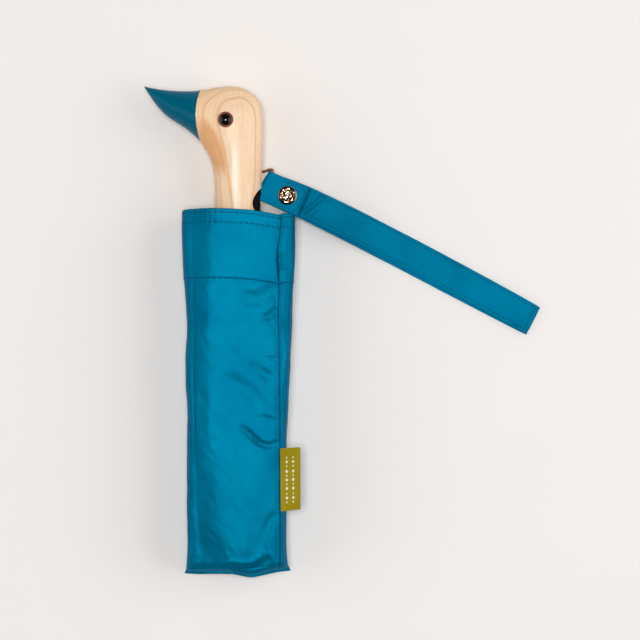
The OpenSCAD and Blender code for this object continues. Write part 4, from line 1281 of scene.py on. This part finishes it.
def make_snap_cap():
    """Pressed cap with a rolled rim and a shallow dome."""
    low, high = box_mm("snap_cap")
    centre = (low + high) / 2
    # Radius and height of the dome, then of the rim down to its underside
    dome = np.array([(0, 1.0), (0.6, 0.995), (1.4, 0.97), (2.2, 0.93), (3.0, 0.87), (3.6, 0.80), (4.1, 0.735),
                     (4.4, 0.69)])
    rim = [(4.8, 0.62), (5.2, 0.54), (5.6, 0.44), (5.9, 0.33), (6.1, 0.2), (6.2, 0.08), (6.05, 0.0),
           (5.4, 0.02)]
    dome_r = np.linspace(0, 4.4, 23)
    profile = list(zip(dome_r, np.interp(dome_r, dome[:, 0], dome[:, 1]))) + rim
    sides = 96
    verts = []
    for r, z in profile[1:]:
        for k in range(sides):
            a = 2 * math.pi * k / sides
            x, y = r * math.cos(a), r * math.sin(a)
            relief = 0.27 * float(lattice_noise(x, y, 1.3, 1.3, SEED + 50)) if z > 0.7 and r < 4.4 else 0.0
            verts.append((centre[0] + x, centre[1] + y, low[2] + z + relief - 0.06))
    count = len(profile) - 1
    verts.append((centre[0], centre[1], low[2] + profile[0][1] - 0.06))
    verts.append((centre[0], centre[1], low[2] + 0.05))
    faces = grid_faces(count, sides)
    faces += fan_faces(0, sides, len(verts) - 2)
    faces += fan_faces((count - 1) * sides, sides, len(verts) - 1, flip=True)
    cap = face_outwards(new_object("snap_cap_dome", verts, faces, MAT["snap"]))
    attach(cap, "tab")
    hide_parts("snap_cap")


# ---- Packed canopy ----


def rounded_ring(a, b, turns, power=0.85):
    """Oval outline with half sizes a and b, a little squarer than an ellipse."""
    c, w = np.cos(turns), np.sin(turns)
    return a * np.sign(c) * np.abs(c) ** power, b * np.sign(w) * np.abs(w) ** power


def make_canopy():
    """The cloth between the ribs, rolled round the shaft in eight overlapping folds."""
    low, high = box_mm("canopy")
    half_x, half_z = (high[0] - low[0]) / 2, (high[2] - low[2]) / 2
    sides, rows = 320, 150
    turns = 2 * np.pi * np.arange(sides) / sides
    v = np.linspace(0, 1, rows)
    y = low[1] + (high[1] - low[1]) * v
    grid = np.empty((rows, sides, 3))
    for i, share in enumerate(v):
        ease = 2.4 * soft_step(-share, -0.06, 0.0) + 2.2 * soft_step(share, 0.93, 1.0)
        x, z = rounded_ring(half_x - 0.25 - ease, half_z - 0.25 - ease, turns)
        phase = turns / (2 * np.pi) * 8 + 0.55 * share + 0.06 * np.sin(share * 9)
        saw = phase - np.floor(phase)
        lap = 1.15 * (1 - saw) ** 1.4 * np.clip(saw * 22, 0, 1)
        waves = 0.35 * lattice_noise(turns * 22, np.full(sides, y[i]), 5, 26, SEED + 40)
        waves += 0.2 * lattice_noise(turns * 22, np.full(sides, y[i]), 2.2, 60, SEED + 41)
        inward = 1.35 - lap + np.abs(waves)
        shrink = 1 - inward / np.hypot(x, z)
        ruffle = 0.8 * np.sin(phase * 2 * np.pi) * (share > 0.97)
        grid[i] = np.stack([x * shrink, y[i] + ruffle, AXIS_Z + z * shrink], -1)

    def end_rings(outer, side, bore=16.35):
        """Rings from one end's edge in to the bore for the ribs."""
        inner = np.stack([bore * np.cos(turns), outer[:, 1], AXIS_Z + bore * np.sin(turns)], -1)
        rings = [outer + (inner - outer) * share for share in (0.25, 0.5, 0.75, 1.0)]
        for ring, share in zip(rings, (0.25, 0.5, 0.75, 1.0)):
            ring[:, 1] += side * (0.35 * np.sin(share * 9 + turns * 8) - 0.4 * share)
        return np.array(rings)

    loops = np.concatenate([grid, end_rings(grid[-1], 1), end_rings(grid[0], -1)[::-1]])
    total = len(loops)
    faces = grid_faces(total, sides)
    faces += [((total - 1) * sides + k, k, (k + 1) % sides, (total - 1) * sides + (k + 1) % sides)
              for k in range(sides)]
    obj = new_object("packed_canopy", loops.reshape(-1, 3), faces, MAT["canopy"])
    around = np.tile(turns * 24, total)
    set_uv(obj, np.stack([around, loops[..., 1].ravel()], -1) * MM)
    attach(obj, "umbrella")
    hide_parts("canopy")


def make_tie_band():
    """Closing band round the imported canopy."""
    low, high = box_mm("tie_band")
    half_x, half_z = (high[0] - low[0]) / 2, (high[2] - low[2]) / 2
    sides = 240
    turns = 2 * np.pi * np.arange(sides) / sides
    width = high[1] - low[1]
    inset = 1.8
    ring = strap_section(18)
    across, height = ring[:, 0] * width / 2, ring[:, 1]
    middle_y = (low[1] + high[1]) / 2
    thick = 0.8
    x, z = rounded_ring(half_x - thick / 2 - 0.1, half_z - thick / 2 - 0.1, turns)
    base = np.stack([x, np.full(sides, middle_y), AXIS_Z + z], -1)
    tangent = np.roll(base, -1, axis=0) - np.roll(base, 1, axis=0)
    out = np.cross(np.array([0, 1.0, 0]), tangent)
    out /= np.linalg.norm(out, axis=1, keepdims=True)
    channel = 0.1 * np.exp(-((np.abs(across) - (width / 2 - inset)) / 0.5) ** 2)
    h = height * (thick / 2) - np.sign(height) * channel * (np.abs(height) > 0.9)
    grid = base[:, None, :] + out[:, None, :] * h[None, :, None]
    grid[..., 1] += across[None, :]
    cols = len(across)
    faces = [(i * cols + k, ((i + 1) % sides) * cols + k, ((i + 1) % sides) * cols + (k + 1) % cols,
              i * cols + (k + 1) % cols) for i in range(sides) for k in range(cols)]
    obj = face_outwards(new_object("closing_band", grid.reshape(-1, 3), faces, MAT["canopy"]))
    run = np.concatenate([[0], np.cumsum(np.linalg.norm(np.diff(base, axis=0), axis=1))])
    set_uv(obj, np.stack([np.tile(across, sides), np.repeat(run, cols)], -1) * MM)
    parts = []
    for edge in (inset - width / 2, width / 2 - inset):
        line = base + out * (thick / 2)
        line[:, 1] += edge
        line = np.concatenate([line, line[:1]])
        normals = np.concatenate([out, out[:1]])
        parts += stitch_row(line, normals, pitch=2.7, length=1.9, radius=0.17, lift=0.02)
    stitches = thread_object("band_stitches", parts)
    for piece in (obj, stitches):
        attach(piece, "umbrella")
    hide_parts("tie_band")


# ---- Build ----

make_camera()
make_stage()
dress_cad()
make_head()
make_sleeve()
make_label()
make_strap()
make_tab()
make_snap_cap()
make_canopy()
make_tie_band()
